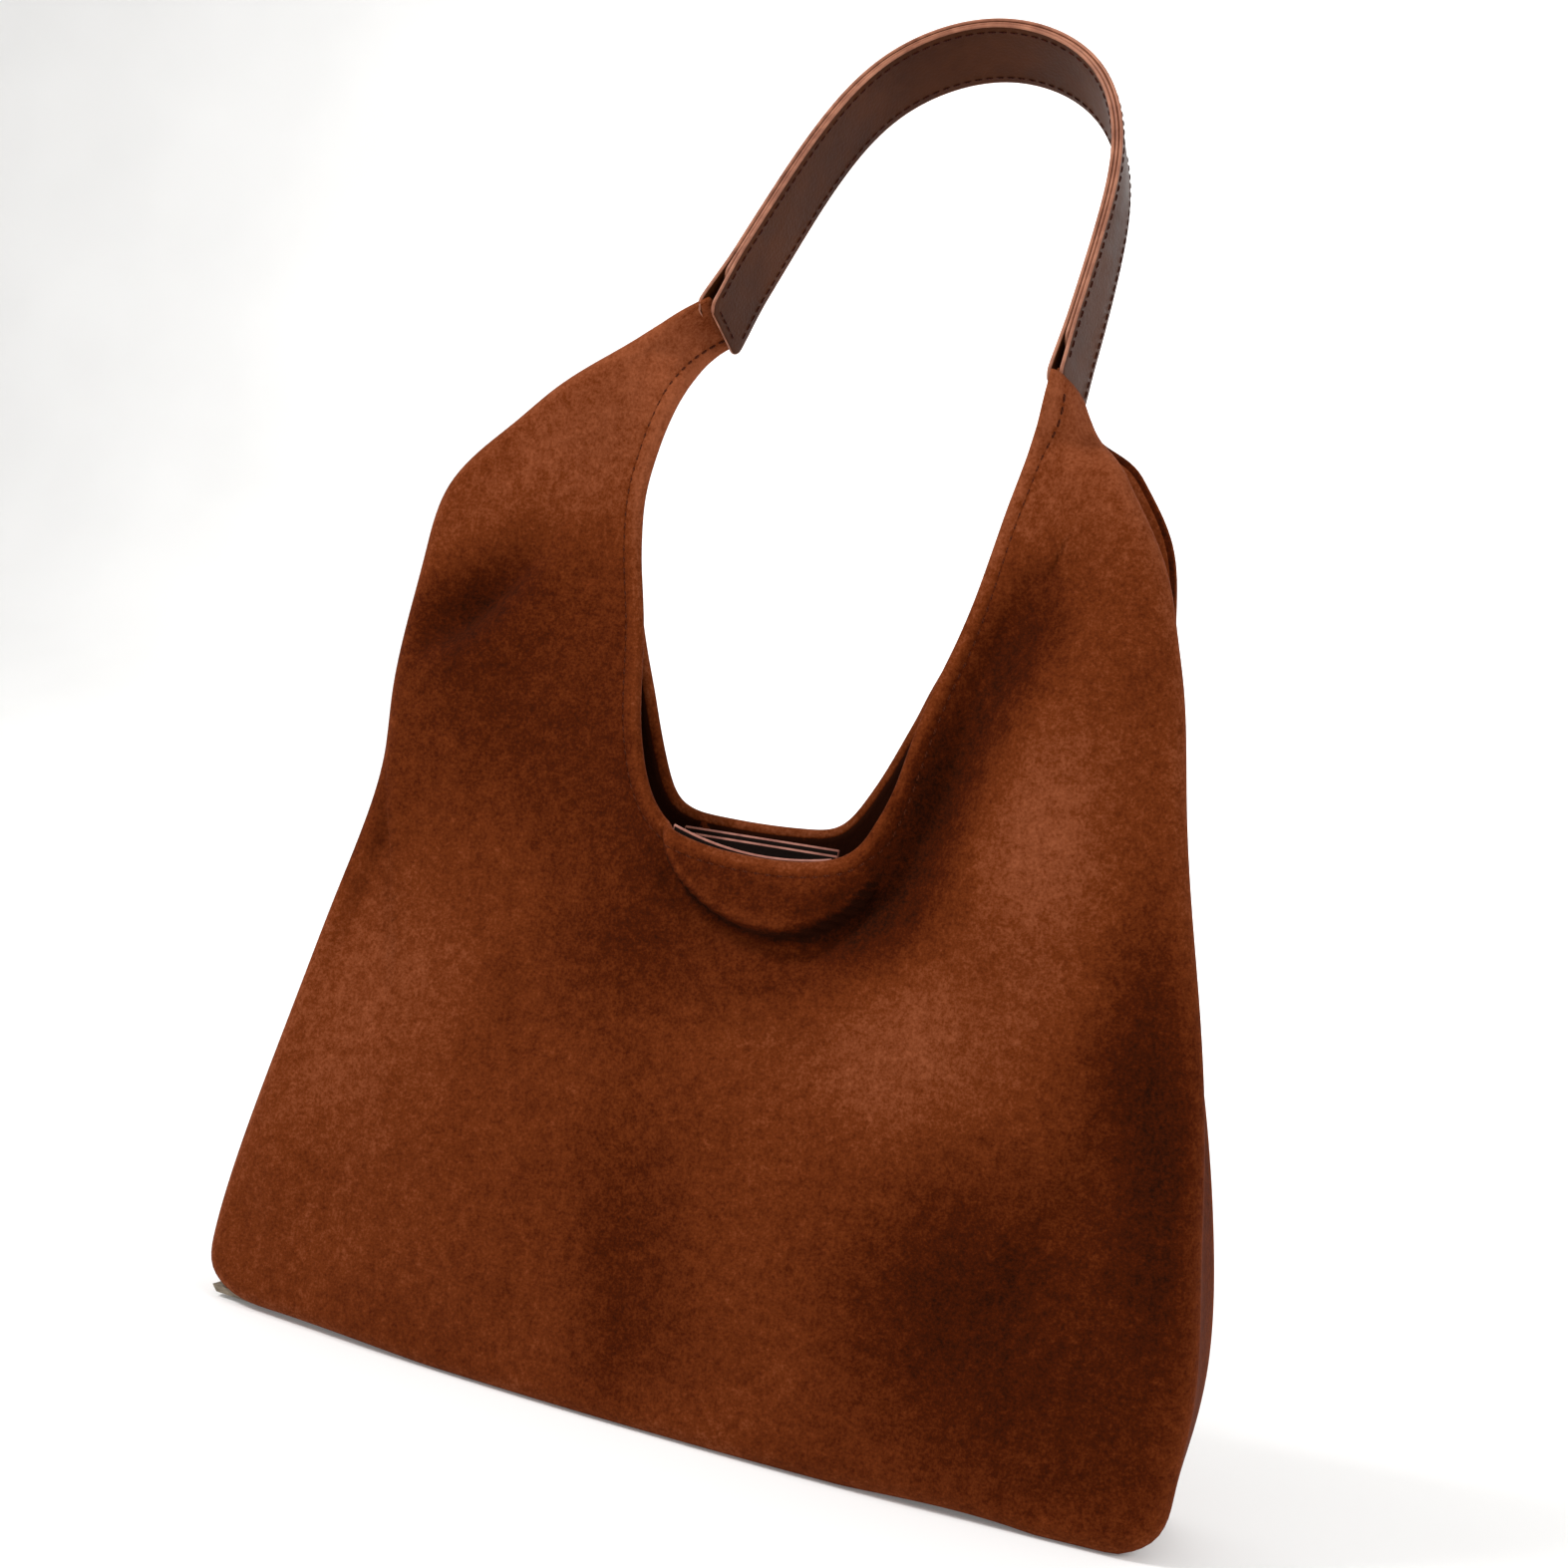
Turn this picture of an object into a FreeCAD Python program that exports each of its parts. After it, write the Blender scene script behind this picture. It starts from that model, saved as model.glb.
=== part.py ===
"""Hobo bag: suede shell with gussets, lining, magnetic tabs in the mouth and a two-layer leather shoulder strap.

Frame: the origin is the middle of the flat base, +Z is up, +X is the wearer's right along the width, and the front
panel faces -Y. All lengths are millimetres. The bag stands on its base with the strap up, leaning back a little.
"""

import FreeCAD, Part
import math
import os

from FreeCAD import Vector

# Thickness of each layer, from the outside in.
SUEDE = 1.8
BOARD = 2.4
CLOTH = 0.8
LAYER_GAP = 0.1

# Side view: the sides narrow evenly from the base to the horns. The middle stands out past them at the base and draws
# in towards the mouth, most of it within the belly height.
BAG_HEIGHT = 400.0
HALF_DEPTH_TIP = 15.0
HALF_DEPTH_SIDE = 31.0
HALF_DEPTH_MIDDLE = 44.0
BELLY_HEIGHT = 150.0
HALF_WIDTH = 200.0

# Front view, as (x, z): each outer edge runs from the base corner over the shoulder to the tip of its horn.
LEFT_EDGE = [(-180, 0), (-191, 14), (-190, 60), (-183, 110), (-169, 165), (-158, 217), (-157, 276), (-150, 326),
             (-128, 358), (-97, 386), (-64, 404)]
RIGHT_EDGE = [(180, 0), (190, 14), (190, 56), (184, 104), (165, 189), (149, 258), (132, 328), (120, 356),
              (106, 377), (95, 398)]
# The mouth dips between the horns. The back rim hangs higher than the front rim.
MOUTH_LEFT = [(-46, 404), (-60, 382), (-70, 354), (-69, 325), (-62, 292), (-53, 256), (-44, 230)]
MOUTH_RIGHT = [(82, 404), (77, 354), (70, 320), (60, 285), (51, 256), (45, 236)]
MOUTH_BOTTOM_LEFT = -24.0
MOUTH_BOTTOM_RIGHT = 30.0
FRONT_RIM = 210.0
BACK_RIM = 218.0
FACING_WIDTH = 26.0

# The horns bend above the panels, so the cloth from here to the strap is one soft piece on each side.
HORN_BOTTOM = 368.0
HORN_TOP = 397.0
PANEL_CLEARANCE = 0.4

# Strap, drawn flat in its own plane and then leaned back about the line through the horn tips.
STRAP_PATH = [(-56, 406), (-44, 462), (-33, 503), (-15, 536), (22, 555), (60, 541), (79, 510), (85, 466), (87, 406)]
STRAP_WIDTH = 32.0
STRAP_LEATHER = 1.3
STRAP_CORE = 1.8
CORE_WIDTH = 28.0
STRAP_LEAN = 22.0
STRAP_LEAN_HEIGHT = 400.0
CORE_SETBACK = 16.0
TONGUE_THICKNESS = 1.2
TONGUE_ABOVE = 12.0
TONGUE_BELOW = 12.0
TONGUE_WIDTH = 28.0
STRAP_SAMPLES = 32

# Magnetic tabs, sewn in at the rims and hanging down inside the mouth.
TAB_MIDDLE = 1.0
TAB_WIDTH = 64.0
TAB_LENGTH = 36.0
TAB_THICKNESS = 2.4
TAB_CORNER = 5.0
TAB_BELOW_RIM = 1.0
TAB_OFF_WALL = 0.8
SNAP_BELOW_TOP = 20.0

# Magnetic snap of the common 18 mm size.
CAP_RADIUS = 9.0
CAP_DEPTH = 3.4
CAP_WALL = 0.4
SOCKET_RADIUS = 3.6
MAGNET_CLEARANCE = 0.2
STUD_RADIUS = 7.5
STUD_PLATE = 0.8
NUB_RADIUS = 3.2
NUB_HEIGHT = 2.2
WASHER_RADIUS = 8.5
WASHER_THICKNESS = 0.7
PRONG_WIDTH = 3.0
PRONG_THICKNESS = 0.6
PRONG_SPACING = 5.0
PRONG_BENT = 2.6
PRONG_CLEARANCE = 0.1

# Slip pocket on the back lining, a little open at its top.
POCKET_LEFT = -78.0
POCKET_RIGHT = 82.0
POCKET_BOTTOM = 48.0
POCKET_TOP = 160.0
POCKET_SEAM = 1.2
POCKET_ROOM = 8.0

# Cutting shapes reach FAR each way in depth, from BELOW under the base to TALL above it, and CUT_PAST past a face.
FAR = 120.0
TALL = 460.0
BELOW = 20.0
CUT_PAST = 10.0

# Grid that each wall's smooth face passes through, a little wider than the bag.
WALL_COLUMNS = 8
WALL_ROWS = 12
WALL_HALF_WIDTH = 220.0


def half_depth(x, z):
    """Half of the bag's outer depth at a point of the front view."""
    side = HALF_DEPTH_SIDE + (HALF_DEPTH_TIP - HALF_DEPTH_SIDE) * z / BAG_HEIGHT
    middle = HALF_DEPTH_TIP + (HALF_DEPTH_MIDDLE - HALF_DEPTH_TIP) * math.exp(-(z / BELLY_HEIGHT) ** 2)
    return side + (middle - side) * (1 - (x / HALF_WIDTH) ** 2)


def wall_surface(side, inset):
    """Face of the front (side -1) or back (side +1) wall, moved inwards by inset."""
    columns = [WALL_HALF_WIDTH * (2 * step / WALL_COLUMNS - 1) for step in range(WALL_COLUMNS + 1)]
    rows = [-BELOW + (TALL + BELOW) * step / WALL_ROWS for step in range(WALL_ROWS + 1)]
    grid = [[Vector(x, side * (half_depth(x, z) - inset), z) for z in rows] for x in columns]
    surface = Part.BSplineSurface()
    surface.interpolate(grid)
    return surface.toShape()


def between_walls(inset):
    """Everything between the front and back walls, at a depth of inset under the outside."""
    behind_front = wall_surface(-1, inset).extrude(Vector(0, 2 * FAR, 0))
    before_back = wall_surface(1, inset).extrude(Vector(0, -2 * FAR, 0))
    return behind_front.common(before_back)


def curve(points):
    """Smooth edge in the front view through (x, z) points."""
    line = Part.BSplineCurve()
    line.interpolate([Vector(x, -FAR, z) for x, z in points])
    return line.toShape()


def straight(start, end):
    return Part.makeLine(Vector(start[0], -FAR, start[1]), Vector(end[0], -FAR, end[1]))


def prism(edges):
    """Front-view outline carried right through the bag's depth."""
    return Part.Face(Part.Wire(edges)).extrude(Vector(0, 2 * FAR, 0))


def slab(z_low, z_high):
    """Level slab as wide and deep as the bag."""
    return Part.makeBox(3 * HALF_WIDTH, 2 * FAR, z_high - z_low, Vector(-1.5 * HALF_WIDTH, -FAR, z_low))


def half_space(side):
    """Everything in front of (side -1) or behind (side +1) the middle plane."""
    start = -FAR if side < 0 else 0
    return Part.makeBox(3 * HALF_WIDTH, FAR, TALL + BELOW, Vector(-1.5 * HALF_WIDTH, start, -BELOW))


def shifted(points, dx):
    return [(x + dx, z) for x, z in points]


def silhouette(inset):
    """Whole front view without the mouth, its outer edges moved inwards by inset."""
    left = shifted(LEFT_EDGE, inset)
    right = shifted(RIGHT_EDGE, -inset)
    return prism([curve(left), straight(left[-1], right[-1]), curve(right), straight(right[0], left[0])])


def side_strip(points, direction, outer, inner):
    """Band that follows one outer edge, from outer to inner under the outside."""
    start = shifted(points, direction * outer)
    end = shifted(points, direction * inner)
    return prism([curve(start), straight(start[-1], end[-1]), curve(end), straight(end[0], start[0])])


def mouth(rim, spread):
    """The hollow of the mouth down to a rim height, widened by spread."""
    left = shifted(MOUTH_LEFT, -spread) + [(MOUTH_BOTTOM_LEFT - spread / 2, rim - spread)]
    right = shifted(MOUTH_RIGHT, spread) + [(MOUTH_BOTTOM_RIGHT + spread / 2, rim - spread)]
    lift = (left[0][0], TALL)
    lift_right = (right[0][0], TALL)
    return prism([curve(left), straight(left[-1], right[-1]), curve(right), straight(right[0], lift_right),
                  straight(lift_right, lift), straight(lift, left[0])])


def rim_of(side):
    return FRONT_RIM if side < 0 else BACK_RIM


def wall_layer(side, outer, inner):
    """Sheet of the front or back wall between two depths under the outside."""
    return between_walls(outer).cut(between_walls(inner)).common(half_space(side))


def make_panels():
    """Suede front and back panels, gussets and base panel."""
    body = silhouette(0).common(slab(0, HORN_BOTTOM - PANEL_CLEARANCE))
    parts = {}
    for name, side in (("front_panel", -1), ("back_panel", 1)):
        parts[name] = wall_layer(side, 0, SUEDE).common(body).cut(mouth(rim_of(side), 0))
    inside = between_walls(SUEDE + LAYER_GAP)
    gusset_room = inside.common(slab(SUEDE + LAYER_GAP, HORN_BOTTOM - PANEL_CLEARANCE))
    for name, edge, direction in (("left_gusset", LEFT_EDGE, 1), ("right_gusset", RIGHT_EDGE, -1)):
        parts[name] = side_strip(edge, direction, 0, SUEDE).common(gusset_room)
    parts["base_panel"] = silhouette(0).common(inside).common(slab(0, SUEDE))
    return parts


def make_lining():
    """Base board, the lining's five cloths and the suede facing behind each rim."""
    outer = SUEDE + LAYER_GAP
    inner = outer + CLOTH
    board_low = SUEDE + LAYER_GAP
    floor_low = board_low + BOARD + LAYER_GAP
    floor_high = floor_low + CLOTH
    parts = {"base_board": silhouette(2 * outer).common(between_walls(2 * outer)).common(
        slab(board_low, board_low + BOARD))}
    parts["lining_base"] = silhouette(inner + LAYER_GAP).common(between_walls(inner + LAYER_GAP)).common(
        slab(floor_low, floor_high))
    height = slab(floor_low, HORN_BOTTOM - PANEL_CLEARANCE)
    for name, side in (("front", -1), ("back", 1)):
        sheet = wall_layer(side, outer, inner).common(silhouette(outer)).common(height)
        sheet = sheet.cut(mouth(rim_of(side), 0))
        parts[name + "_facing"] = sheet.common(mouth(rim_of(side), FACING_WIDTH))
        parts["lining_" + name] = sheet.cut(mouth(rim_of(side), FACING_WIDTH + LAYER_GAP))
    room = between_walls(inner + LAYER_GAP).common(height)
    for name, edge, direction in (("lining_left", LEFT_EDGE, 1), ("lining_right", RIGHT_EDGE, -1)):
        parts[name] = side_strip(edge, direction, outer, inner).common(room)
    return parts


def make_pocket():
    """Slip pocket: a cloth held off the back lining by its sewn sides and bottom."""
    wall = SUEDE + CLOTH + 2 * LAYER_GAP
    sheet_at = wall + POCKET_ROOM
    bag_side = between_walls(wall)

    def plate(margin, top):
        return Part.makeBox(POCKET_RIGHT - POCKET_LEFT - 2 * margin, FAR, top - POCKET_BOTTOM - margin,
                            Vector(POCKET_LEFT + margin, 0, POCKET_BOTTOM + margin))

    body = plate(0, POCKET_TOP).common(bag_side).cut(between_walls(sheet_at + CLOTH))
    room = plate(POCKET_SEAM, POCKET_TOP + CUT_PAST).cut(between_walls(sheet_at))
    return {"slip_pocket": body.cut(room)}


def strap_line():
    """The strap's path, upright in the middle plane."""
    line = Part.BSplineCurve()
    line.interpolate([Vector(x, 0, z) for x, z in STRAP_PATH])
    return line


def offset_path(distance):
    """Smooth edge that keeps a distance to one side of the strap's path."""
    line = strap_line()
    first, last = line.FirstParameter, line.LastParameter
    moved = []
    for step in range(STRAP_SAMPLES + 1):
        at = first + (last - first) * step / STRAP_SAMPLES
        along = line.tangent(at)[0]
        moved.append(line.value(at) + Vector(along.z, 0, -along.x) * distance)
    edge = Part.BSplineCurve()
    edge.interpolate(moved)
    return edge.toShape()


def strap_band(low, high, width):
    """Band between two distances from the strap's path, upright and centred on the middle plane."""
    inner = offset_path(low)
    outer = offset_path(high)
    ends = [Part.makeLine(inner.Vertexes[k].Point, outer.Vertexes[k].Point) for k in (0, 1)]
    face = Part.Face(Part.Wire([inner, ends[1], outer, ends[0]]))
    face.translate(Vector(0, -width / 2, 0))
    return face.extrude(Vector(0, width, 0))


def leaned(shape):
    """The strap's own plane leaned back about the line through the horn tips."""
    shape.rotate(Vector(0, 0, STRAP_LEAN_HEIGHT), Vector(1, 0, 0), -STRAP_LEAN)
    return shape


def make_strap():
    """Two leathers with a core between them. The core stops short, so each end is a fork for a horn's tongue."""
    half = STRAP_CORE / 2
    ends_at = STRAP_PATH[0][1] + CORE_SETBACK
    above = Part.makeBox(3 * HALF_WIDTH, 2 * FAR, TALL, Vector(-1.5 * HALF_WIDTH, -FAR, ends_at))
    return {
        "strap_inner": leaned(strap_band(half, half + STRAP_LEATHER, STRAP_WIDTH)),
        "strap_core": leaned(strap_band(LAYER_GAP - half, half - LAYER_GAP, CORE_WIDTH).common(above)),
        "strap_outer": leaned(strap_band(-half - STRAP_LEATHER, -half, STRAP_WIDTH)),
    }


def tongue(at_left):
    """Flat suede tongue: its upper half lies in the strap's fork, and its lower half runs on down into the horn."""
    line = strap_line()
    at = line.FirstParameter if at_left else line.LastParameter
    end = line.value(at)
    up = line.tangent(at)[0]
    if up.z < 0:
        up = up * -1
    half = TONGUE_THICKNESS / 2
    lower = Part.makeBox(TONGUE_THICKNESS, TONGUE_WIDTH, TONGUE_BELOW, Vector(-half, -TONGUE_WIDTH / 2, -TONGUE_BELOW))
    lower.rotate(Vector(0, 0, 0), Vector(0, 1, 0), math.degrees(math.atan2(up.x, up.z)))
    lower.translate(end)
    start_x = end.x - STRAP_WIDTH / 2
    fork = Part.makeBox(STRAP_WIDTH, STRAP_WIDTH, TONGUE_ABOVE, Vector(start_x, -STRAP_WIDTH / 2, end.z))
    upper = strap_band(-half, half, TONGUE_WIDTH).common(fork)
    return leaned(lower.fuse(upper))


def make_horn_tips():
    """Soft tip of each horn: walls round the front, back and outer edge, and the tongue that enters the strap."""
    level = slab(HORN_BOTTOM, HORN_TOP)
    tube = silhouette(0).common(between_walls(0)).common(level).cut(mouth(FRONT_RIM, 0))
    tube = tube.cut(silhouette(SUEDE).common(between_walls(SUEDE)))
    west = Part.makeBox(HALF_WIDTH, 2 * FAR, TALL, Vector(-HALF_WIDTH, -FAR, 0))
    parts = {}
    for name, whole, at_left in (("left_horn_tip", tube.common(west), True),
                                 ("right_horn_tip", tube.cut(west), False)):
        parts[name] = whole.fuse(tongue(at_left)).removeSplitter()
    return parts


def disc(radius, thickness, y, centre):
    """Round plate facing along Y, from y towards the back."""
    return Part.makeCylinder(radius, thickness, Vector(centre.x, y, centre.z), Vector(0, 1, 0))


def prongs(y_start, y_end, inward, centre, clearance):
    """Two flat legs through the tab. With inward 0 they are plain slots, or else they are bent over at the far end."""
    low, high = min(y_start, y_end), max(y_start, y_end)
    legs = None
    for sign in (-1, 1):
        at = centre.x + sign * PRONG_SPACING / 2 - PRONG_THICKNESS / 2
        leg = Part.makeBox(PRONG_THICKNESS + 2 * clearance, high - low, PRONG_WIDTH + 2 * clearance,
                           Vector(at - clearance, low, centre.z - PRONG_WIDTH / 2 - clearance))
        if inward:
            reach = at if sign > 0 else at + PRONG_THICKNESS - PRONG_BENT
            bent_low = y_end if y_end > y_start else y_end - PRONG_THICKNESS
            leg = leg.fuse(Part.makeBox(PRONG_BENT, PRONG_THICKNESS, PRONG_WIDTH,
                                        Vector(reach, bent_low, centre.z - PRONG_WIDTH / 2)))
        legs = leg if legs is None else legs.fuse(leg)
    return legs


def tab_leather(y, top):
    """Leather tab with rounded lower corners, hanging from its top edge, from y towards the back."""
    plate = Part.makeBox(TAB_WIDTH, TAB_THICKNESS, TAB_LENGTH,
                         Vector(TAB_MIDDLE - TAB_WIDTH / 2, y, top - TAB_LENGTH))
    corners = []
    for edge in plate.Edges:
        low = all(abs(v.Z - (top - TAB_LENGTH)) < 0.01 for v in edge.Vertexes)
        if low and abs(edge.Vertexes[0].X - edge.Vertexes[1].X) < 0.01:
            corners.append(edge)
    return plate.makeFillet(TAB_CORNER, corners)


def tab_gap(rim):
    """Distance of a tab's wall side from the middle plane."""
    return half_depth(TAB_MIDDLE, rim) - SUEDE - CLOTH - 2 * LAYER_GAP - TAB_OFF_WALL


def make_front_tab():
    """Front tab with the snap's stud on its inner face and the washer behind it."""
    top = FRONT_RIM - TAB_BELOW_RIM
    wall_side = -tab_gap(FRONT_RIM) + WASHER_THICKNESS + PRONG_THICKNESS + LAYER_GAP
    inner = wall_side + TAB_THICKNESS
    centre = Vector(TAB_MIDDLE, 0, top - SNAP_BELOW_TOP)
    slots = prongs(wall_side - CUT_PAST, inner + CUT_PAST, 0, centre, PRONG_CLEARANCE)
    stud = disc(STUD_RADIUS, STUD_PLATE, inner + LAYER_GAP, centre)
    stud = stud.fuse(disc(NUB_RADIUS, NUB_HEIGHT + STUD_PLATE, inner + LAYER_GAP, centre))
    washer_at = wall_side - LAYER_GAP - WASHER_THICKNESS
    stud = stud.fuse(prongs(inner + LAYER_GAP, washer_at - LAYER_GAP, 1, centre, 0))
    return {
        "front_tab": tab_leather(wall_side, top).cut(slots),
        "snap_stud": stud,
        "stud_washer": disc(WASHER_RADIUS, WASHER_THICKNESS, washer_at, centre).cut(slots),
    }


def make_back_tab():
    """Back tab with the snap's magnet in its cap on its inner face and the washer behind it."""
    top = BACK_RIM - TAB_BELOW_RIM
    wall_side = tab_gap(BACK_RIM) - WASHER_THICKNESS - PRONG_THICKNESS - LAYER_GAP
    inner = wall_side - TAB_THICKNESS
    centre = Vector(TAB_MIDDLE, 0, FRONT_RIM - TAB_BELOW_RIM - SNAP_BELOW_TOP)
    slots = prongs(inner - CUT_PAST, wall_side + CUT_PAST, 0, centre, PRONG_CLEARANCE)
    plate_at = inner - LAYER_GAP - STUD_PLATE
    plate = disc(CAP_RADIUS - CAP_WALL - LAYER_GAP, STUD_PLATE, plate_at, centre)
    washer_at = wall_side + LAYER_GAP
    plate = plate.fuse(prongs(plate_at + STUD_PLATE, washer_at + WASHER_THICKNESS + LAYER_GAP, 1, centre, 0))
    cap_at = inner - LAYER_GAP - CAP_DEPTH
    cap = disc(CAP_RADIUS, CAP_DEPTH, cap_at, centre)
    cap = cap.cut(disc(CAP_RADIUS - CAP_WALL, CAP_DEPTH, cap_at + CAP_WALL, centre))
    cap = cap.cut(disc(SOCKET_RADIUS, CAP_DEPTH, cap_at - CAP_WALL, centre))
    magnet_depth = CAP_DEPTH - CAP_WALL - STUD_PLATE - 2 * LAYER_GAP
    magnet = disc(CAP_RADIUS - CAP_WALL - MAGNET_CLEARANCE, magnet_depth, cap_at + CAP_WALL + LAYER_GAP, centre)
    magnet = magnet.cut(disc(SOCKET_RADIUS, CAP_DEPTH, cap_at, centre))
    return {
        "back_tab": tab_leather(inner, top).cut(slots),
        "snap_cap": cap,
        "snap_magnet": magnet,
        "snap_plate": plate,
        "plate_washer": disc(WASHER_RADIUS, WASHER_THICKNESS, washer_at, centre).cut(slots),
    }


def main():
    os.makedirs("parts", exist_ok=True)
    makers = (make_panels, make_lining, make_pocket, make_horn_tips, make_strap, make_front_tab, make_back_tab)
    for maker in makers:
        for name, shape in maker().items():
            solids = shape.Solids
            print(name, "solids", len(solids), "valid", shape.isValid(), "volume", round(shape.Volume))
            whole = solids[0] if len(solids) == 1 else Part.Compound(solids)
            whole.exportStep("parts/" + name + ".step")


main()
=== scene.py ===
"""Looks of a suede hobo bag: shell, rims, lining, tabs, snap and leather strap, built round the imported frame.

Every shape is worked out in millimetres in the frame's own axes and turned into metres when its mesh is made.
"""
import math

import bmesh
import bpy
import numpy as np
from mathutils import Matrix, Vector, noise


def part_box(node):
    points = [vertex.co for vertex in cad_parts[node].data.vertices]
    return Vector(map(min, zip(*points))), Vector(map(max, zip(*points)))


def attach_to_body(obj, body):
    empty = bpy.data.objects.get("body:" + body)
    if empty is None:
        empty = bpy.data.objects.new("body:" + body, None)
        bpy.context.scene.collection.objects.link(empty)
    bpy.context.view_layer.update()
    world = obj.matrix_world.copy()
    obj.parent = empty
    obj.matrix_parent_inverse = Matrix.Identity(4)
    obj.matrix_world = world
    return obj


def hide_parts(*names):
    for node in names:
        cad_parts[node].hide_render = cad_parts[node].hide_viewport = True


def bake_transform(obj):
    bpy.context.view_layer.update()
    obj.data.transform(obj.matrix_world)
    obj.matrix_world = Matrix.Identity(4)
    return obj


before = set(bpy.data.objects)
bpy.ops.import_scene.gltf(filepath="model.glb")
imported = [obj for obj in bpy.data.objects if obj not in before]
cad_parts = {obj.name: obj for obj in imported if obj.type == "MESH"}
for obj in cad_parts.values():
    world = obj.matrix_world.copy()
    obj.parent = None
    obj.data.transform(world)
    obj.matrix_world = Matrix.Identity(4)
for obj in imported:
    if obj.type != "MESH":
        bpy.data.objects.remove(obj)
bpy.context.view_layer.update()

MM = 0.001

# Layers of the shell. The suede turns round the mouth's rim and in by TURN_IN, over a facing of suede.
# The lining lies LINING_DEPTH under the suede's face and stops short of the horns' tips.
SUEDE = 1.1
RIM_RADIUS = 1.9
TURN_IN = 7.0
FACING_THICKNESS = 0.9
FACING_DEEP = 26.0
FACING_GAP = 0.2
LINING_DEPTH = 4.4
LINING_STOP = 24.0
LINING_ROWS = 70
CLOTH = 0.7

# Depth of the bag: the sides narrow evenly upwards, and the middle draws in towards the mouth.
BAG_HEIGHT = 400.0
HALF_DEPTH_TIP = 15.0
HALF_DEPTH_SIDE = 31.0
HALF_DEPTH_MIDDLE = 47.0
BELLY_HEIGHT = 150.0
HALF_WIDTH = 200.0
BASE_HEIGHT = 1.1

# Beside the mouth the walls pinch in above PINCH_LOW. Folds fade out within FOLD_EDGE of the outer edge.
PINCH = 0.5
PINCH_LOW = 245
PINCH_REACH = 60
PINCH_WIDTH = 26
FOLD_EDGE = 13

# Outlines in the front view, as (x, z), from the left horn's tip over the left side, the base and the right
# side to the right horn's tip. BREAKS are the knots at the shoulders, the base's corners and its middle.
FRONT_OUTER = [
    (-60, 413), (-80, 400.5), (-98, 387.5), (-113.5, 374.5), (-127.5, 359.5), (-140.5, 346),
    (-150.5, 331), (-155, 302), (-157, 272), (-157, 245), (-155, 222), (-157, 196), (-163, 163),
    (-170, 122), (-176.5, 84), (-182, 48), (-184, 25), (-182, 12), (-174, 5.6), (-150, 2.6),
    (-75, 1.0), (0, 0.6), (75, 0.6), (150, 1.4), (186, 3.4), (192.5, 9), (195.5, 24), (196.5, 56),
    (191, 98), (184.5, 139), (173.2, 189), (164, 223), (156, 257), (147.5, 297), (142, 315),
    (135.5, 334), (125.8, 351.5), (115, 367), (105.5, 382), (94.5, 398.5),
]
FRONT_OUTER_BREAKS = (0, 6, 18, 21, 24, 36, 39)
BACK_OUTER = [
    (-60, 412), (-79, 399), (-97, 387), (-129, 361), (-151, 328), (-157, 276), (-156, 217),
    (-163.5, 165), (-174, 110), (-182, 60), (-183, 24), (-181, 11), (-174, 5.6), (-150, 2.6),
    (0, 0.6), (150, 1.4), (181, 3.4), (188, 9), (193, 24), (195.5, 56), (189.5, 104), (175, 162),
    (166.8, 189), (151, 258), (143, 293), (137.5, 323), (131.3, 350), (120.5, 367), (109, 382),
    (94, 401),
]
BACK_OUTER_BREAKS = (0, 4, 12, 14, 16, 26, 29)

# The mouth runs the same way round, from tip to tip, with its breaks level with those of the outline.
FRONT_MOUTH = [
    (-47, 397), (-58, 388), (-67, 368), (-71.5, 344), (-70, 322), (-63, 295), (-54, 258),
    (-45, 231), (-34, 217), (-19, 211), (4, 209), (27, 211), (42.5, 217.5), (51, 235), (55.5, 258),
    (60.5, 286), (68, 320), (73, 350), (78.5, 378), (81, 403),
]
BACK_MOUTH = [
    (-54, 398), (-65, 387), (-74.5, 368), (-79, 345), (-77, 323), (-69, 295), (-59.5, 264),
    (-50.5, 238), (-42, 224.5), (-22, 220.5), (-4, 220.8), (12, 222), (24, 225), (34, 238),
    (45, 262), (57, 290), (68, 320), (73, 350), (77, 378), (79, 402),
]
MOUTH_BREAKS = (0, 4, 8, 10, 12, 17, 19)
COLUMNS = (34, 110, 40, 40, 110, 26)

# Seams and top stitching.
SEAM_RADIUS = 7.0
STITCH_INSET = 5.0
STITCH_PITCH = 4.5
STITCH_LENGTH = 3.2
STITCH_RADIUS = 0.5
STITCH_ARCH = 0.9
STITCH_LIFT = 0.45

# Strap: the path is drawn upright as (x, z) and then leaned back about the line through the horns.
STRAP_PATH = [
    (-57, 407.5), (-45.5, 462), (-35, 503), (-17, 537.5), (22, 557.5), (61, 543.5), (80, 511),
    (85.5, 466), (84.8, 394.5),
]
STRAP_WIDTH = 32.0
STRAP_LEATHER = 1.4
STRAP_CORE = 1.7
STRAP_CORE_SETBACK = 16.0
STRAP_CORE_INSET = 0.5
STRAP_CORNER = 5.0
STRAP_STITCH_INSET = 3.4
STRAP_STITCH_RADIUS = 0.3
STRAP_LEAN = math.radians(22)
STRAP_LEAN_HEIGHT = 400.0
STRAP_STATIONS = 150
STRAP_TWIST_LEFT = math.radians(5)
STRAP_TWIST_RIGHT = math.radians(8)
TWIST_REACH = 150.0
FORK_OPEN_LEFT = 1.6
FORK_OPEN_RIGHT = 0.8
FORK_REACH = 30.0

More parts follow.
